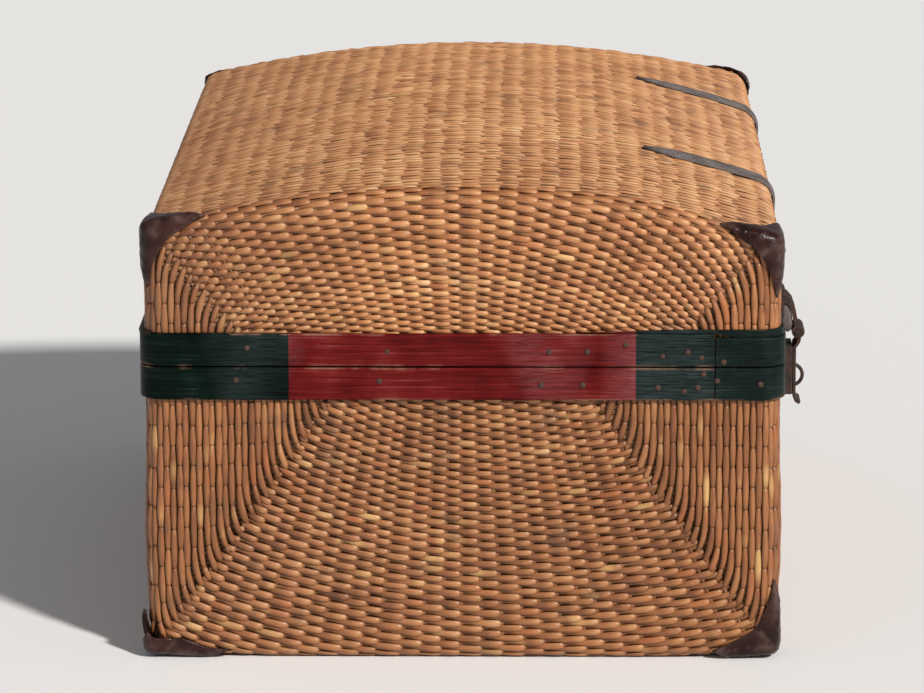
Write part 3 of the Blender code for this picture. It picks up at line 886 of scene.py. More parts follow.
def inside_trunk(points, corner_r, lid_r, base_r):
    """Whether points are within the closed trunk, its edges rounded as given."""
    x, y, z = points.T
    over_x = np.abs(x) - (HALF_L - corner_r)
    over_y = np.abs(y) - (HALF_D - corner_r)
    depth = corner_r - np.hypot(np.maximum(over_x, 0), np.maximum(over_y, 0))
    depth = depth - np.minimum(np.maximum(over_x, over_y), 0)
    inside = depth > 0
    for below, radius in ((top_z(x, y) - z, lid_r), (z - base_z(x, y), base_r)):
        near = np.clip(radius - below, 0, radius)
        limit = radius - np.sqrt(np.maximum(radius**2 - near**2, 0))
        inside &= (below > 0) & (depth >= limit)
    return inside


def surface_towards(start, through, radii=(CORNER_R, LID_EDGE_R, BASE_EDGE_R)):
    """The points where rays from one inside point leave the trunk."""
    step = through - start
    low = np.zeros(len(through))
    high = np.full(len(through), 4.0)
    for _ in range(36):
        middle = (low + high) / 2
        within = inside_trunk(start + step * middle[:, None], *radii)
        low = np.where(within, middle, low)
        high = np.where(within, high, middle)
    return start + step * low[:, None]


def soft_noise(points, scale, seed):
    """Smooth repeatable variation from -1 to 1 over space."""
    total = np.zeros(len(points))
    turn = np.random.default_rng(seed)
    for k in range(5):
        direction = turn.normal(0, 1, 3)
        total += np.sin(points @ direction * scale * 1.6**k + turn.random() * 6) / 1.5**k
    return total / 2.2


def patch(name, body, grid_points, normals, rim, faces, thick, material, slot, near=0.0009):
    """Thickens an open patch that lies on the trunk into a closed piece."""
    thick = np.broadcast_to(thick, len(grid_points))
    inner = grid_points + normals * near
    outer = grid_points + normals * (near + thick)[:, None]
    count = len(grid_points)
    points = np.concatenate([inner, outer])
    closed = [face[::-1] for face in faces] + [tuple(count + i for i in face) for face in faces]
    for i, j in zip(rim, rim[1:] + rim[:1]):
        closed.append((i, j, count + j, count + i))
    on_rim = np.zeros(count)
    on_rim[rim] = 1
    obj = new_object(name, points, closed, material)
    return finish_piece(obj, body, slot, edge=np.tile(on_rim, 2))


def vertex_normals(points, faces, outward_from):
    normals = np.zeros_like(points)
    for face in faces:
        a, b, c = points[face[0]], points[face[1]], points[face[2]]
        normal = np.cross(b - a, c - a)
        for i in face:
            normals[i] += normal
    normals = unit(normals)
    away = np.einsum("ij,ij->i", normals, points - outward_from)
    return np.where(away[:, None] < 0, -normals, normals)


CAP_STEPS = 30
SHARP_RADII = (0.010, 0.005, 0.005)


def cap_grid():
    """Shares of the three lobes at the patch's points, its triangles and its rim."""
    steps = CAP_STEPS
    shares, index = [], {}
    for i in range(steps + 1):
        for j in range(steps + 1 - i):
            index[i, j] = len(shares)
            shares.append((i / steps, j / steps, 1 - (i + j) / steps))
    faces = []
    for i in range(steps):
        for j in range(steps - i):
            faces.append((index[i, j], index[i + 1, j], index[i, j + 1]))
            if i + j < steps - 1:
                faces.append((index[i + 1, j], index[i + 1, j + 1], index[i, j + 1]))
    rim = [index[i, 0] for i in range(steps)]
    rim += [index[steps - k, k] for k in range(steps)]
    rim += [index[0, steps - k] for k in range(steps)]
    return np.array(shares), faces, rim


def make_cap(owner, fore, end, lobes):
    """A leather cap over one corner, its three lobes as long as given.

    It is stretched over the corner more sharply than the cane beneath."""
    node = f"{owner}_corner_cap_{fore}_{end}"
    side_x = -1 if end == "left" else 1
    side_y = -1 if fore == "front" else 1
    up = 1 if owner == "lid" else -1
    corner_z = LID_EDGE_Z if owner == "lid" else BASE_LIFT
    outward = np.array([side_x, side_y, up * 0.6])
    torn = (owner, fore, end) == ("base", "back", "left")
    stretch = 1.0
    if (owner, end) == ("lid", "right"):
        stretch = 0.3 if fore == "front" else -0.1
    corner = np.array([side_x * HALF_L, side_y * HALF_D, corner_z])
    arms = np.diag([-side_x * lobes[0], -side_y * lobes[1], -up * lobes[2]])
    centre = corner + np.array([-side_x, -side_y, -up]) * 0.042
    shares, faces, rim = cap_grid()
    a, b, c = shares.T
    between = 4 * (a * b + b * c + c * a - 3 * a * b * c)
    blunt = 1 - 0.05 * np.max(shares, axis=1) ** 8
    ragged = 1 + 0.025 * soft_noise(corner + shares @ arms, 150, 11)
    flat = (shares @ arms) * ((1 - 0.36 * between) * ragged * blunt)[:, None]
    through = corner + flat
    if owner == "lid":
        through[:, 2] += top_z(through[:, 0], through[:, 1]) - LID_EDGE_Z
    if torn:
        across = np.abs(flat[:, 1])
        hump = hill(across - 0.034, 0.016)
        through[:, 2] = corner_z + flat[:, 2] * (0.35 + 0.65 * hump)
    snug = surface_towards(centre, through)
    sharp = surface_towards(centre, through, SHARP_RADII)
    away = np.linalg.norm(through - corner, axis=1) / max(lobes)
    grip = np.clip(1.7 - 1.7 * away, 0, 1)
    points = snug + (sharp - snug) * stretch * grip[:, None]
    tight = hill(away, 0.22)
    points = points + outward * (0.0045 * stretch * tight)[:, None]
    points[:, 2] = np.maximum(points[:, 2], 0.0036)
    normals = vertex_normals(points, faces, np.array([0, 0, BODY_TOP]))
    first = points[list(faces[0])]
    if np.dot(np.cross(first[1] - first[0], first[2] - first[0]), normals[faces[0][0]]) < 0:
        faces = [face[::-1] for face in faces]
        rim = rim[::-1]
    fold = np.minimum(np.minimum(np.abs(a - b), np.abs(b - c)), np.abs(c - a))
    fold = hill(fold, 0.07)
    crease = np.abs(b - 0.85 * c - 0.06 * np.sin(9 * b))
    seam = hill(crease, 0.035) * (owner == "base") * (not torn)
    puff = 0.0005 * soft_noise(points, 90, 5) + 0.0004 * soft_noise(points, 260, 6)
    thick = np.maximum(0.0022 + puff - 0.0014 * seam, 0.0008)
    name = f"{node}_leather"
    body = "lid" if owner == "lid" else "trunk_body"
    obj = patch(name, body, points, normals, rim, faces, thick, CAP_LEATHER, "cap_leather")
    add_values(obj.data, "fold", np.concatenate([fold, fold]))
    add_values(obj.data, "seam", np.concatenate([seam, seam]))
    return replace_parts(obj, node)


def make_torn_tab():
    """The loose strip of the back left base cap, curled up and away from the corner, its leather dimmed
    nearly black as painted shade.
    """
    rows = []
    for turn in np.linspace(0, 1, 9):
        y = HALF_D - 0.006 + 0.010 * turn + 0.003 * math.sin(3 * turn)
        z = 0.006 + 0.034 * turn
        half = 0.0026 - 0.0012 * turn
        x_near = -HALF_L - 0.002 + 0.006 * turn
        x_far = x_near + 0.022 - 0.008 * turn
        tilt = 0.35 * half
        rows.append([(x_near, y - half, z), (x_far, y - half, z + tilt)])
        rows[-1] += [(x_far, y + half, z + tilt), (x_near, y + half, z)]
    points, faces = loft(rows)
    obj = new_object("base_cap_torn_strip", points, faces, SHADOWED_LEATHER, smooth=False)
    none = np.zeros(len(points))
    finish_piece(obj, "trunk_body", "cap_leather", edge=none, fold=none, seam=none)


# How long a cap's lobes are along x, y and z; three caps differ from the rest.
LOBES = {"lid": (0.056, 0.060, 0.060), "base": (0.060, 0.062, 0.072)}
OTHER_LOBES = {
    ("base", "back", "left"): (0.056, 0.078, 0.044),
    ("lid", "back", "right"): (0.012, 0.030, 0.045),
    ("lid", "front", "right"): (0.040, 0.048, 0.052),
}


def make_caps():
    for owner in ("lid", "base"):
        for fore in ("front", "back"):
            for end in ("left", "right"):
                lobes = OTHER_LOBES.get((owner, fore, end), LOBES[owner])
                make_cap(owner, fore, end, lobes)
    make_torn_tab()


def strap_line(x):
    """Points down a strap at one x: dome, edge, lid front and out over the band."""
    edge_y = -HALF_D + LID_EDGE_R
    tip_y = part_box("left_lid_strap")[1].y - 0.018
    points = [(x, y, float(top_z(x, y))) for y in np.linspace(tip_y, edge_y, 16)]
    for angle in np.radians(np.linspace(0, 90, 7)[1:]):
        y = edge_y - LID_EDGE_R * math.sin(angle)
        points.append((x, y, float(top_z(x, y)) - LID_EDGE_R * (1 - math.cos(angle))))
    for rise in (0.058, 0.045, 0.030, 0.014):
        points.append((x, -HALF_D + 0.0012, BAND_HIGH + rise))
    for rise in (0.008, 0.002):
        points.append((x, -HALF_D - BAND_OUT * (0.010 - rise) / 0.008, BAND_HIGH + rise))
    for rise in (-0.008, -0.016, -0.0245):
        points.append((x, -HALF_D - BAND_OUT, BAND_HIGH + rise))
    return np.array(points)


STRAP_SPREAD = 1.16  # the worn leather's width over the CAD strap's


def make_strap(label):
    node = f"{label}_lid_strap"
    middle_x, width = x_span(node)
    width *= STRAP_SPREAD
    columns = np.linspace(-1, 1, 7)
    lines = []
    taper = np.ones(len(strap_line(0.0)))
    taper[:3] = (0.12, 0.70, 0.95)
    for across in columns:
        line = strap_line(middle_x + width / 2 * across)
        line[:, 0] = middle_x + (line[:, 0] - middle_x) * taper
        line[0, 1] += 0.010
        line[:2, 2] = top_z(line[:2, 0], line[:2, 1])
        wander = waver(np.arange(len(line)) * 0.011, 0.0006, middle_x * 9 + np.sign(across))
        line[:, 0] += wander * abs(across)
        lines.append(line)
    points = np.concatenate(lines)
    rows = len(lines[0])
    faces = grid_faces(len(columns), rows)
    normals = vertex_normals(points, faces, np.array([0, 0, BODY_TOP]))
    last = (len(columns) - 1) * rows
    rim = list(range(rows)) + [c * rows + rows - 1 for c in range(1, len(columns))]
    rim += list(range(last + rows - 2, last - 1, -1))
    rim += [c * rows for c in range(len(columns) - 2, 0, -1)]
    sides = np.repeat(np.abs(columns), rows)
    thick = 0.0029 - 0.0012 * sides**4 + 0.0003 * soft_noise(points, 120, 8)
    name = f"{node}_leather"
    obj = patch(name, "lid", points, normals, rim, faces, thick, STRAP_LEATHER, "strap_leather", -0.0004)
    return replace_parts(obj, node)


# How far out from the wicker and up from the rim a strap's folded end reaches.
FOLD_SHAPE = (
    (0.0085, 0.0160),
    (0.0150, 0.0165),
    (0.0178, 0.0100),
    (0.0194, 0.0015),
    (0.0196, -0.0055),
    (0.0165, -0.0120),
    (0.0118, -0.0110),
    (0.0088, 0.0010),
)


def make_fold(label):
    """A strap's lower end, doubled up thick behind the bracket's arm."""
    middle_x, width = x_span(f"{label}_hasp_bracket")
    half = width / 2 - 0.0012
    rows = []
    for across in (-1.0, -0.9, -0.45, 0.0, 0.45, 0.9, 1.0):
        x = middle_x + half * across
        rows.append([(x, -HALF_D - out, RIM + rise) for out, rise in FOLD_SHAPE])
    points, faces = loft(rows)
    obj = new_object(f"{label}_strap_fold", points, faces, STRAP_LEATHER)
    finish_piece(obj, "lid", "strap_leather", edge=np.zeros(len(points)))
    smoother = obj.modifiers.new("Subdivision", "SUBSURF")
    smoother.levels = smoother.render_levels = 2


# Nails


def dome(centre, out, radius, height, tilt):
    """Points and faces of one low round nail head with a short shank."""
    out = unit(out + tilt)
    side = unit(np.cross(out, (0.0, 0.0, 1.0)) + 1e-9)
    up = np.cross(out, side)
    turns = 2 * math.pi * np.arange(10) / 10
    rings = []
    for along, wide in ((-0.0016, 0.35), (0.0, 0.35), (0.0, 1.0), (0.45, 0.93), (0.8, 0.65), (0.97, 0.3)):
        middle = centre + out * (along if along < 0 else along * height)
        rings.append([middle + (side * math.cos(k) + up * math.sin(k)) * radius * wide for k in turns])
    return loft(rings)


NAIL_RADIUS = 0.0027


def make_nails(name, body, places):
    """One mesh of nail heads, from (place, outward direction)."""
    points, faces, wear = [], [], []
    for place, out in places:
        tilt = RNG.normal(0, 0.10, 3)
        size = NAIL_RADIUS * RNG.normal(1, 0.07)
        more, sides = dome(np.array(place, float), np.array(out, float), size, size * 0.42, tilt)
        start = len(points)
        points += list(more)
        faces += [tuple(start + i for i in side) for side in sides]
        wear += [RNG.random()] * len(more)
    finish_piece(new_object(name, points, faces, NAIL), body, "iron", wear=wear)


# Nails through the left end's bands, as (towards the back, above the rim).
LEFT_LID_NAILS = (
    (0.189, 0.017),
    (0.066, 0.014),
    (-0.0765, 0.014),
    (-0.110, 0.014),
    (-0.144, 0.0205),
    (-0.176, 0.010),
    (-0.198, 0.014),
    (-0.210, 0.009),
    (-0.2295, 0.005),
)
LEFT_BODY_NAILS = (
    (0.199, -0.012),
    (0.073, -0.0125),
    (-0.0695, -0.016),
    (-0.106, -0.016),
    (-0.172, -0.018),
    (-0.195, -0.0215),
    (-0.207, -0.018),
    (-0.212, -0.006),
    (-0.224, -0.012),
    (-0.262, -0.015),
)


def band_nails(own_nails, sign):
    places = []
    for y, rise in own_nails:
        places.append(((-HALF_L - BAND_OUT, y, RIM + rise), (-1, 0, 0)))
    for y in np.arange(-0.21, 0.22, 0.07):
        jitter = RNG.normal(0, 0.004, 2)
        spot = (HALF_L + BAND_OUT, y + jitter[0], RIM + sign * (0.0145 + jitter[1] * 0.6))
        places.append((spot, (1, 0, 0)))
    for x in np.arange(-0.33, 0.34, 0.083):
        for side in (-1, 1):
            jitter = RNG.normal(0, 0.004, 2)
            if min(abs(x + jitter[0] - at) for at in BUSY[side]) < 0.036:
                continue
            spot = (x + jitter[0], side * (HALF_D + BAND_OUT), RIM + sign * (0.0145 + jitter[1] * 0.6))
            places.append((spot, (0, side, 0)))
    return places


# Where the front and back nails keep clear of a strap or a hinge.
BUSY = {
    -1: [x_span(f"{label}_lid_strap")[0] for label in ("left", "right")],
    1: [x_span(f"{label}_hinge_pin")[0] for label in ("left", "right")],
}


# Materials


class Nodes:
    """Short calls for building one material's node tree."""

    def __init__(self, name):
        self.material = bpy.data.materials.new(name)
        self.material.use_nodes = True
        self.tree = self.material.node_tree
        self.place = self.add("ShaderNodeTexCoord").outputs["Object"]

    def feed(self, socket, value):
        if isinstance(value, bpy.types.NodeSocket):
            self.tree.links.new(value, socket)
        else:
            socket.default_value = value

    def add(self, kind, inputs=None, **settings):
        node = self.tree.nodes.new(kind)
        for key, value in settings.items():
            setattr(node, key, value)
        for key, value in (inputs or {}).items():
            self.feed(node.inputs[key], value)
        return node

    def attribute(self, name, output="Fac"):
        return self.add("ShaderNodeAttribute", attribute_name=name).outputs[output]

    def parts(self, vector):
        return self.add("ShaderNodeSeparateXYZ", {"Vector": vector}).outputs

    def math(self, operation, a, b=0.0, c=0.0):
        return self.add("ShaderNodeMath", {0: a, 1: b, 2: c}, operation=operation).outputs[0]

    def times(self, a, b):
        return self.math("MULTIPLY", a, b)

    def times_plus(self, a, b, c):
        return self.math("MULTIPLY_ADD", a, b, c)

    def both(self, a, share, b):
        """share of a, and the rest of b."""
        return self.times_plus(a, share, self.times(b, 1 - share))

    def noise(self, vector, scale, detail=3.0, roughness=0.55):
        """A tuple for scale stretches the noise, by so much along each axis."""
        if isinstance(scale, tuple):
            vector = self.add("ShaderNodeMapping", {"Vector": vector, "Scale": scale}).outputs[0]
            scale = 1.0
        inputs = {"Vector": vector, "Scale": scale, "Detail": detail, "Roughness": roughness}
        return self.add("ShaderNodeTexNoise", inputs).outputs["Fac"]

    def ramp(self, value, stops, dim=1.0):
        node = self.add("ShaderNodeValToRGB", {"Fac": value})
        elements = node.color_ramp.elements
        while len(elements) < len(stops):
            elements.new(0.5)
        for element, (place, *colour) in zip(elements, stops):
            element.position = place
            element.color = (*(dim * c for c in colour), 1)
        return node.outputs["Color"]

    def mix(self, share, a, b):
        node = self.add("ShaderNodeMix", {0: share}, data_type="RGBA")
        for key, value in ((6, a), (7, b)):
            self.feed(node.inputs[key], (*value, 1) if isinstance(value, tuple) else value)
        return node.outputs[2]

    def span(self, value, low, high, to_low=0.0, to_high=1.0):
        inputs = {"Value": value, 1: low, 2: high, 3: to_low, 4: to_high}
        return self.add("ShaderNodeMapRange", inputs).outputs[0]

    def finish(self, colour, rough, height=0, strength=0, distance=0.001, specular=0.5, metal=0):
        """Wires up the shader, bumped by height, and gives the material."""
        inputs = {"Height": height, "Strength": strength, "Distance": distance}
        bump = self.add("ShaderNodeBump", inputs).outputs[0]
        sockets = {"Base Color": colour, "Roughness": rough, "Normal": bump}
        sockets.update({"Specular IOR Level": specular, "Metallic": metal})
        for name, value in sockets.items():
            self.feed(self.tree.nodes["Principled BSDF"].inputs[name], value)
        return self.material


# Colour ramps: where each stop is, and its red, green and blue.
BROWN_CANE = (
    (0.15, 0.075, 0.022, 0.007),
    (0.34, 0.205, 0.068, 0.021),
    (0.50, 0.375, 0.142, 0.048),
    (0.68, 0.520, 0.235, 0.090),
    (0.86, 0.680, 0.400, 0.190),
)
PALE_CANE = (
    (0.15, 0.130, 0.045, 0.017),
    (0.34, 0.320, 0.130, 0.050),
    (0.50, 0.500, 0.230, 0.095),
    (0.68, 0.640, 0.340, 0.155),
    (0.86, 0.780, 0.500, 0.260),
)
RED_PAINT = (
    (0.36, 0.030, 0.0020, 0.0025),
    (0.47, 0.095, 0.0050, 0.0055),
    (0.57, 0.145, 0.0110, 0.0110),
    (0.70, 0.240, 0.0850, 0.0850),
)
GREEN_PAINT = (
    (0.34, 0.0003, 0.0012, 0.0008),
    (0.47, 0.0008, 0.0048, 0.0030),
    (0.58, 0.0030, 0.0110, 0.0080),
    (0.70, 0.0420, 0.0480, 0.0430),
)
BROWN_LEATHER = (
    (0.34, 0.014, 0.0050, 0.0040),
    (0.48, 0.036, 0.0115, 0.0092),
    (0.60, 0.062, 0.0220, 0.0170),
    (0.74, 0.115, 0.0600, 0.0500),
)
GREY_LEATHER = (
    (0.34, 0.035, 0.026, 0.024),
    (0.48, 0.120, 0.096, 0.092),
    (0.60, 0.200, 0.165, 0.158),
    (0.74, 0.300, 0.250, 0.235),
)
PLAIN_WOOD = (
    (0.32, 0.130, 0.065, 0.030),
    (0.52, 0.260, 0.145, 0.070),
    (0.74, 0.400, 0.250, 0.135),
)


def wicker_material(name, age, dim, crevice_shade, back=0.0):
    """Cane between pale at age 0 and brown at 1, all made darker or lighter by dim, which paints in how
    brightly each part is lit.

    The argument after dim sets how dark the painted shade in the crevices between strands is, and back
    how dark the painted shade towards the trunk's back edge."""
    n = Nodes(name)
    fibre = n.attribute("fibre", "Vector")
    streaks = n.noise(fibre, (60, 1600, 1))
    blotch = n.noise(fibre, (45, 200, 1), 2.0)
    value = n.times_plus(n.attribute("tone"), 0.12, 0.10)
    value = n.times_plus(streaks, 0.30, value)
    value = n.times_plus(n.noise(n.place, 9.0), 0.28, value)
    value = n.times_plus(blotch, 0.24, value)
    stops = []
    for (place, *brown), (_, *pale) in zip(BROWN_CANE, PALE_CANE):
        stops.append((place, *(b * age + p * (1 - age) for b, p in zip(brown, pale))))
    colour = n.ramp(value, stops, dim)
    red = n.span(n.noise(fibre, (18, 10, 7), 0.0), 0.62, 0.80, 0.0, 0.5)
    colour = n.mix(red, colour, (0.36, 0.10, 0.028))
    straw = n.span(n.noise(fibre, (24, 10, 5), 0.0), 0.66, 0.84, 0.0, 0.6)
    colour = n.mix(straw, colour, (0.70, 0.44, 0.17))
    # Painted shade: darker where a strand dives under a stake and where it tucks in at its ends.
    under = n.span(n.attribute("dive"), -1.0, 0.75, 0.60, 0.0)
    colour = n.mix(under, colour, (0.125, 0.052, 0.021))
    # Painted shade in the crevices along both sides of each strand, where it meets its neighbours.
    off_ridge = n.math("ABSOLUTE", n.math("ADD", n.parts(fibre)[1], -0.003))
    crevice = n.span(off_ridge, 0.0011, 0.0027, 0.0, crevice_shade)
    colour = n.mix(crevice, colour, (0.070, 0.028, 0.012))
    grime = n.times(n.span(n.noise(n.place, 30.0, 4.0), 0.56, 0.70), 0.45)
    colour = n.mix(grime, colour, (0.090, 0.045, 0.022))
    # Painted shade, darker towards the trunk's back, the side away from the key light.
    back_shade = n.span(n.parts(n.place)[1], 0.06, 0.28, 0.0, back)
    colour = n.mix(back_shade, colour, (0.100, 0.040, 0.020))
    rough = n.span(streaks, 0.3, 0.7, 0.34, 0.54)
    return n.finish(colour, rough, n.times_plus(streaks, 0.6, blotch), 0.55, 0.0005)


def lining_material():
    """Woven rows on each inner face, laid by which way the face looks."""
    n = Nodes("lining_look")
    x, y, z = n.parts(n.place)
    to_x, to_y, to_z = n.parts(n.add("ShaderNodeTexCoord").outputs["Normal"])
    flat = n.math("GREATER_THAN", n.math("ABSOLUTE", to_z), 0.7)
    on_end = n.math("GREATER_THAN", n.math("ABSOLUTE", to_x), n.math("ABSOLUTE", to_y))
    on_end = n.math("GREATER_THAN", n.math("SUBTRACT", on_end, flat), 0.5)
    along = n.times_plus(on_end, n.math("SUBTRACT", y, x), x)
    up = n.times_plus(flat, n.math("SUBTRACT", y, z), z)
    wander = n.times_plus(n.noise(n.place, 20.0, 1.0), 0.004, up)
    bricks = {
        "Vector": n.add("ShaderNodeCombineXYZ", {0: along, 1: wander}).outputs[0],
        "Scale": 1.0,
        "Mortar Size": 0.0007,
        "Mortar Smooth": 0.8,
        "Brick Width": 0.0340,
        "Row Height": 0.0046,
        "Color1": (0.165, 0.075, 0.030, 1),
        "Color2": (0.300, 0.145, 0.060, 1),
        "Mortar": (0.045, 0.019, 0.008, 1),
    }
    rows = n.add("ShaderNodeTexBrick", bricks).outputs
    patches = n.span(n.noise(n.place, 14.0), 0.45, 0.70, 0.0, 0.55)
    colour = n.mix(patches, rows["Color"], (0.075, 0.034, 0.016))
    return n.finish(colour, 0.7, n.math("SUBTRACT", 1.0, rows["Fac"]), 0.8, 0.0012)


RED_HALF_END = 0.1525  # half the length of the red paint on the trunk's ends
RED_HALF_SIDE = 0.272  # and on its long sides


def paint_material():
    """Red along the middle of each side and green round the corners, both worn."""
    n = Nodes("band_paint_look")
    fibre = n.attribute("fibre", "Vector")
    x, y, _ = n.parts(n.place)
    streak = n.noise(fibre, (14, 900, 900), 4.0, 0.65)
    fine = n.noise(fibre, (60, 3000, 3000))
    patches = n.noise(n.place, 22.0, 4.0)
    wander = n.times_plus(streak, 0.004, -0.002)
    red_end = n.math("LESS_THAN", n.math("ADD", n.math("ABSOLUTE", y), wander), RED_HALF_END)
    red_side = n.math("LESS_THAN", n.math("ADD", n.math("ABSOLUTE", x), wander), RED_HALF_SIDE)
    red = n.math("MAXIMUM", red_end, red_side)
    depth = n.both(streak, 0.6, patches)
    colour = n.mix(red, n.ramp(depth, GREEN_PAINT), n.ramp(depth, RED_PAINT))
    pale = n.mix(red, (0.055, 0.075, 0.078), (0.330, 0.150, 0.160))
    dusty = n.times(n.span(y, -0.16, -0.12, 1.0, 0.0), n.span(y, -0.23, -0.21, 0.35, 1.0))
    hazy = n.math("MAXIMUM", n.span(n.noise(n.place, 7.0, 2.0), 0.50, 0.72), n.times(dusty, 0.9))
    hazy = n.times(hazy, n.span(fine, 0.40, 0.60))
    colour = n.mix(n.times(hazy, 0.55), colour, pale)
    worn = n.times(n.span(n.attribute("wear"), 0.25, 1.0), n.span(patches, 0.50, 0.64))
    colour = n.mix(n.times(worn, 0.75), colour, (0.300, 0.170, 0.110))
    scar = n.math("GREATER_THAN", n.noise(fibre, (35, 420, 420), 2.0), 0.735)
    colour = n.mix(n.times(scar, 0.8), colour, (0.020, 0.012, 0.010))
    rough = n.span(streak, 0.3, 0.7, 0.30, 0.50)
    return n.finish(colour, rough, n.times_plus(fine, 0.4, streak), 0.6, 0.0007, 0.06)


def cap_leather_material(name, dim):
    n = Nodes(name)
    patches = n.noise(n.place, 55.0, 4.0, 0.6)
    value = n.both(patches, 0.6, n.noise(n.place, 17.0, 2.0))
    colour = n.ramp(value, BROWN_LEATHER, dim)
    rub = n.times(n.attribute("fold"), n.span(patches, 0.46, 0.62))
    colour = n.mix(n.times(rub, 0.55 * dim), colour, (0.150, 0.105, 0.090))
    frayed = n.times(n.attribute("edge"), n.span(patches, 0.40, 0.60))
    colour = n.mix(n.times(frayed, 0.5 * dim), colour, (0.105, 0.060, 0.045))
    colour = n.mix(n.times(n.attribute("seam"), 0.8), colour, (0.006, 0.004, 0.003))
    rough = n.span(patches, 0.35, 0.70, 0.20, 0.42)
    grain = n.add("ShaderNodeTexVoronoi", {"Vector": n.place, "Scale": 900.0})
    inputs = {"Vector": n.place, "Scale": 170.0}
    cracks = n.add("ShaderNodeTexVoronoi", inputs, feature="DISTANCE_TO_EDGE")
    height = n.span(cracks.outputs["Distance"], 0.0, 0.05)
    height = n.times_plus(grain.outputs["Distance"], 0.35, height)
    height = n.times_plus(patches, 0.8, height)
    return n.finish(colour, rough, height, 0.25, 0.0004, 0.20)


def strap_leather_material():
    n = Nodes("strap_leather_look")
    patches = n.noise(n.place, 60.0, 4.0)
    cracks = n.noise(n.place, (160, 900, 160), 4.0, 0.7)
    colour = n.ramp(n.both(cracks, 0.5, patches), GREY_LEATHER)
    colour = n.mix(n.times(n.attribute("edge"), 0.5), colour, (0.050, 0.036, 0.030))
    return n.finish(colour, 0.55, n.times_plus(cracks, 0.8, patches), 0.5, 0.0005)


def iron_material(name, rust):
    """Dark iron; rust is how much of it has turned brown."""
    n = Nodes(name)
    patches = n.noise(n.place, 120.0, 5.0, 0.65)
    fine = n.noise(n.place, 900.0)
    share = n.span(n.times_plus(fine, 0.3, patches), 0.80 - rust, 1.05 - rust)
    colour = n.mix(share, (0.046, 0.042, 0.042), (0.072, 0.033, 0.020))
    colour = n.mix(n.span(fine, 0.35, 0.65, 0.35, 0.0), colour, (0.012, 0.009, 0.008))
    metal = n.span(share, 0.0, 1.0, 0.85, 0.15)
    rough = n.span(share, 0.0, 1.0, 0.38, 0.78)
    return n.finish(colour, rough, n.times_plus(fine, 0.5, patches), 0.5, 0.0004, metal=metal)


def bare_wood_material():
    n = Nodes("bare_wood_look")
    grain = n.noise(n.place, (9, 9, 500), 4.0, 0.6)
    colour = n.ramp(n.both(grain, 0.7, n.noise(n.place, 18.0)), PLAIN_WOOD)
    return n.finish(colour, 0.68, grain, 0.4, 0.0004)


def dress_cad_nodes():
    """Gives every CAD node that stays its material, and eases its edges."""
    for name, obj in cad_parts.items():
        if obj.hide_render:
            continue
        look = BARE_WOOD if "hoop" in name else STRAP_LEATHER if "pad" in name else IRON
        obj.data.materials.clear()
        obj.data.materials.append(look)
        weld = obj.modifiers.new("Weld", "WELD")
        weld.merge_threshold = 0.00002
        bevel = obj.modifiers.new("Bevel", "BEVEL")
        bevel.width = 0.0005
        bevel.segments = 2
        bevel.limit_method = "ANGLE"
        bevel.angle_limit = math.radians(40)


# dim paints in the light: the top lit brightest and the body's walls shaded darkest; the crevice value
# and back add painted shade.
TOP_WICKER = wicker_material("wicker_top_look", 0.0, 1.14, 0.45, 0.30)
LID_WICKER = wicker_material("wicker_lid_look", 0.80, 1.02, 0.12, 0.52)
BODY_WICKER = wicker_material("wicker_body_look", 1.0, 0.77, 0.12)
LINING = lining_material()
PAINT = paint_material()
CAP_LEATHER = cap_leather_material("cap_leather_look", 0.72)
# Cap leather dimmed nearly black, painted shade for the torn strip.
SHADOWED_LEATHER = cap_leather_material("shadowed_leather_look", 0.25)
STRAP_LEATHER = strap_leather_material()
IRON = iron_material("iron_look", 0.30)
NAIL = iron_material("nail_look", 0.50)
BARE_WOOD = bare_wood_material()


# Stage


FLOOR_HALF = 6.0


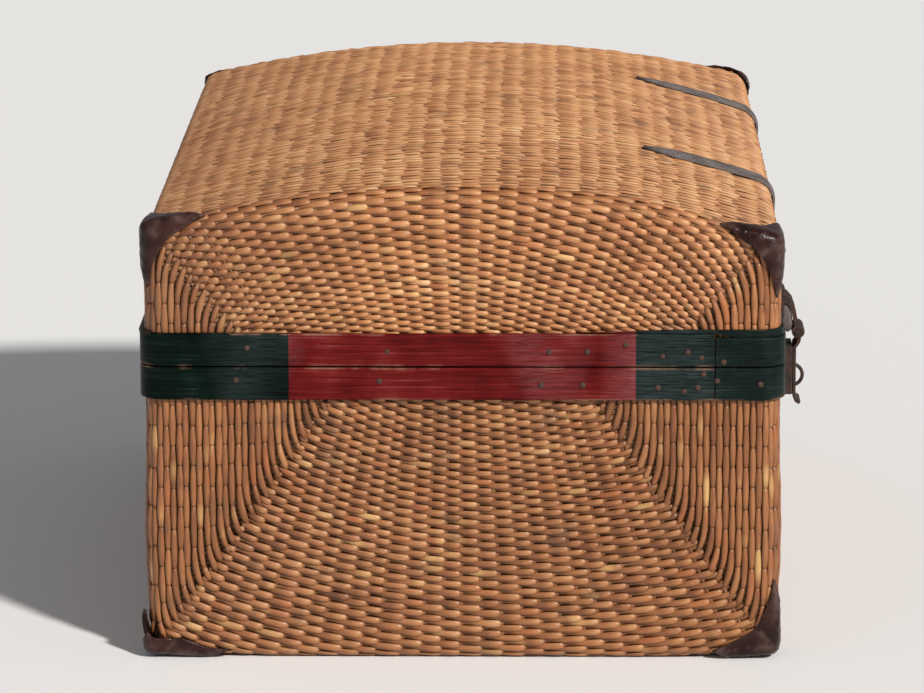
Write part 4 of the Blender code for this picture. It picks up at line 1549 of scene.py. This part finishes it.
def make_stage():
    line = np.linspace(-FLOOR_HALF, FLOOR_HALF, 8)
    points = [(x, y, 0.0) for y in line for x in line]
    faces = grid_faces(len(line), len(line))
    floor_look = Nodes("floor_look").finish((0.83, 0.83, 0.835, 1), 0.8)
    new_object("floor", points, faces, floor_look)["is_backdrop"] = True

    world = bpy.data.worlds.new("studio")
    bpy.context.scene.world = world
    world.use_nodes = True
    background = world.node_tree.nodes["Background"]
    background.inputs["Color"].default_value = (0.95, 0.97, 1.0, 1)
    background.inputs["Strength"].default_value = 0.26
    bpy.context.scene.view_settings.view_transform = "Standard"

    key_place, fill_place = (-2.6, -2.2, 2.6), (-3.6, 2.6, 1.6)
    add_light("key", "SUN", key_place, 4.0, (1.0, 0.965, 0.915), angle=math.radians(5))
    add_light("fill", "AREA", fill_place, 10, (0.95, 0.97, 1.0), size=2.4)


def add_light(name, kind, place, power, colour, **settings):
    """A light that looks at the middle of the trunk."""
    data = bpy.data.lights.new(name, kind)
    data.energy = power
    data.color = colour
    for key, value in settings.items():
        setattr(data, key, value)
    light = link_new(name, data)
    light.location = place
    light.rotation_mode = "QUATERNION"
    away = light.location - (CAD_LOW + CAD_HIGH) / 2
    light.rotation_quaternion = away.to_track_quat("Z", "Y")


def make_camera():
    pitch, yaw, roll = math.radians(12.87), math.radians(1.02), math.radians(0.13)
    data = bpy.data.cameras.new("camera")
    data.sensor_width = 36
    data.lens = 189.5
    data.clip_end = 60
    camera = link_new("camera", data)
    camera.location = (-4.563, -0.074, 1.237)
    camera.rotation_euler = (math.pi / 2 - pitch, 0, yaw - math.pi / 2)
    camera.rotation_euler.rotate_axis("Z", -roll)
    bpy.context.scene.camera = camera


make_camera()
make_stage()

for owner, body, kind, look in (
    ("body", "trunk_body", BodySide, BODY_WICKER),
    ("lid", "lid", LidSide, LID_WICKER),
):
    for panel in PANELS:
        weave = Weave()
        weave_side(weave, kind(panel))
        weave.build(f"{owner}_weave_{panel}", body, look)
top_edge_x = HALF_L - LID_EDGE_R
for label, low, high in (("left", -top_edge_x, 0.0), ("right", 0.0, top_edge_x)):
    weave = Weave()
    weave_top(weave, low, high)
    weave.build(f"lid_weave_top_{label}", "lid", TOP_WICKER)
weave = Weave()
weave_bottom(weave)
weave.build("body_weave_bottom", "trunk_body", BODY_WICKER)
make_linings()
make_bands()
make_slip()
make_caps()
for label in ("left", "right"):
    make_strap(label)
    make_fold(label)
make_nails("lid_band_nails", "lid", band_nails(LEFT_LID_NAILS, 1))
make_nails("body_band_nails", "trunk_body", band_nails(LEFT_BODY_NAILS, -1))
dress_cad_nodes()

low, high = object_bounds()
sizes = {"cad": [list(CAD_LOW), list(CAD_HIGH)], "visual": [list(low), list(high)]}
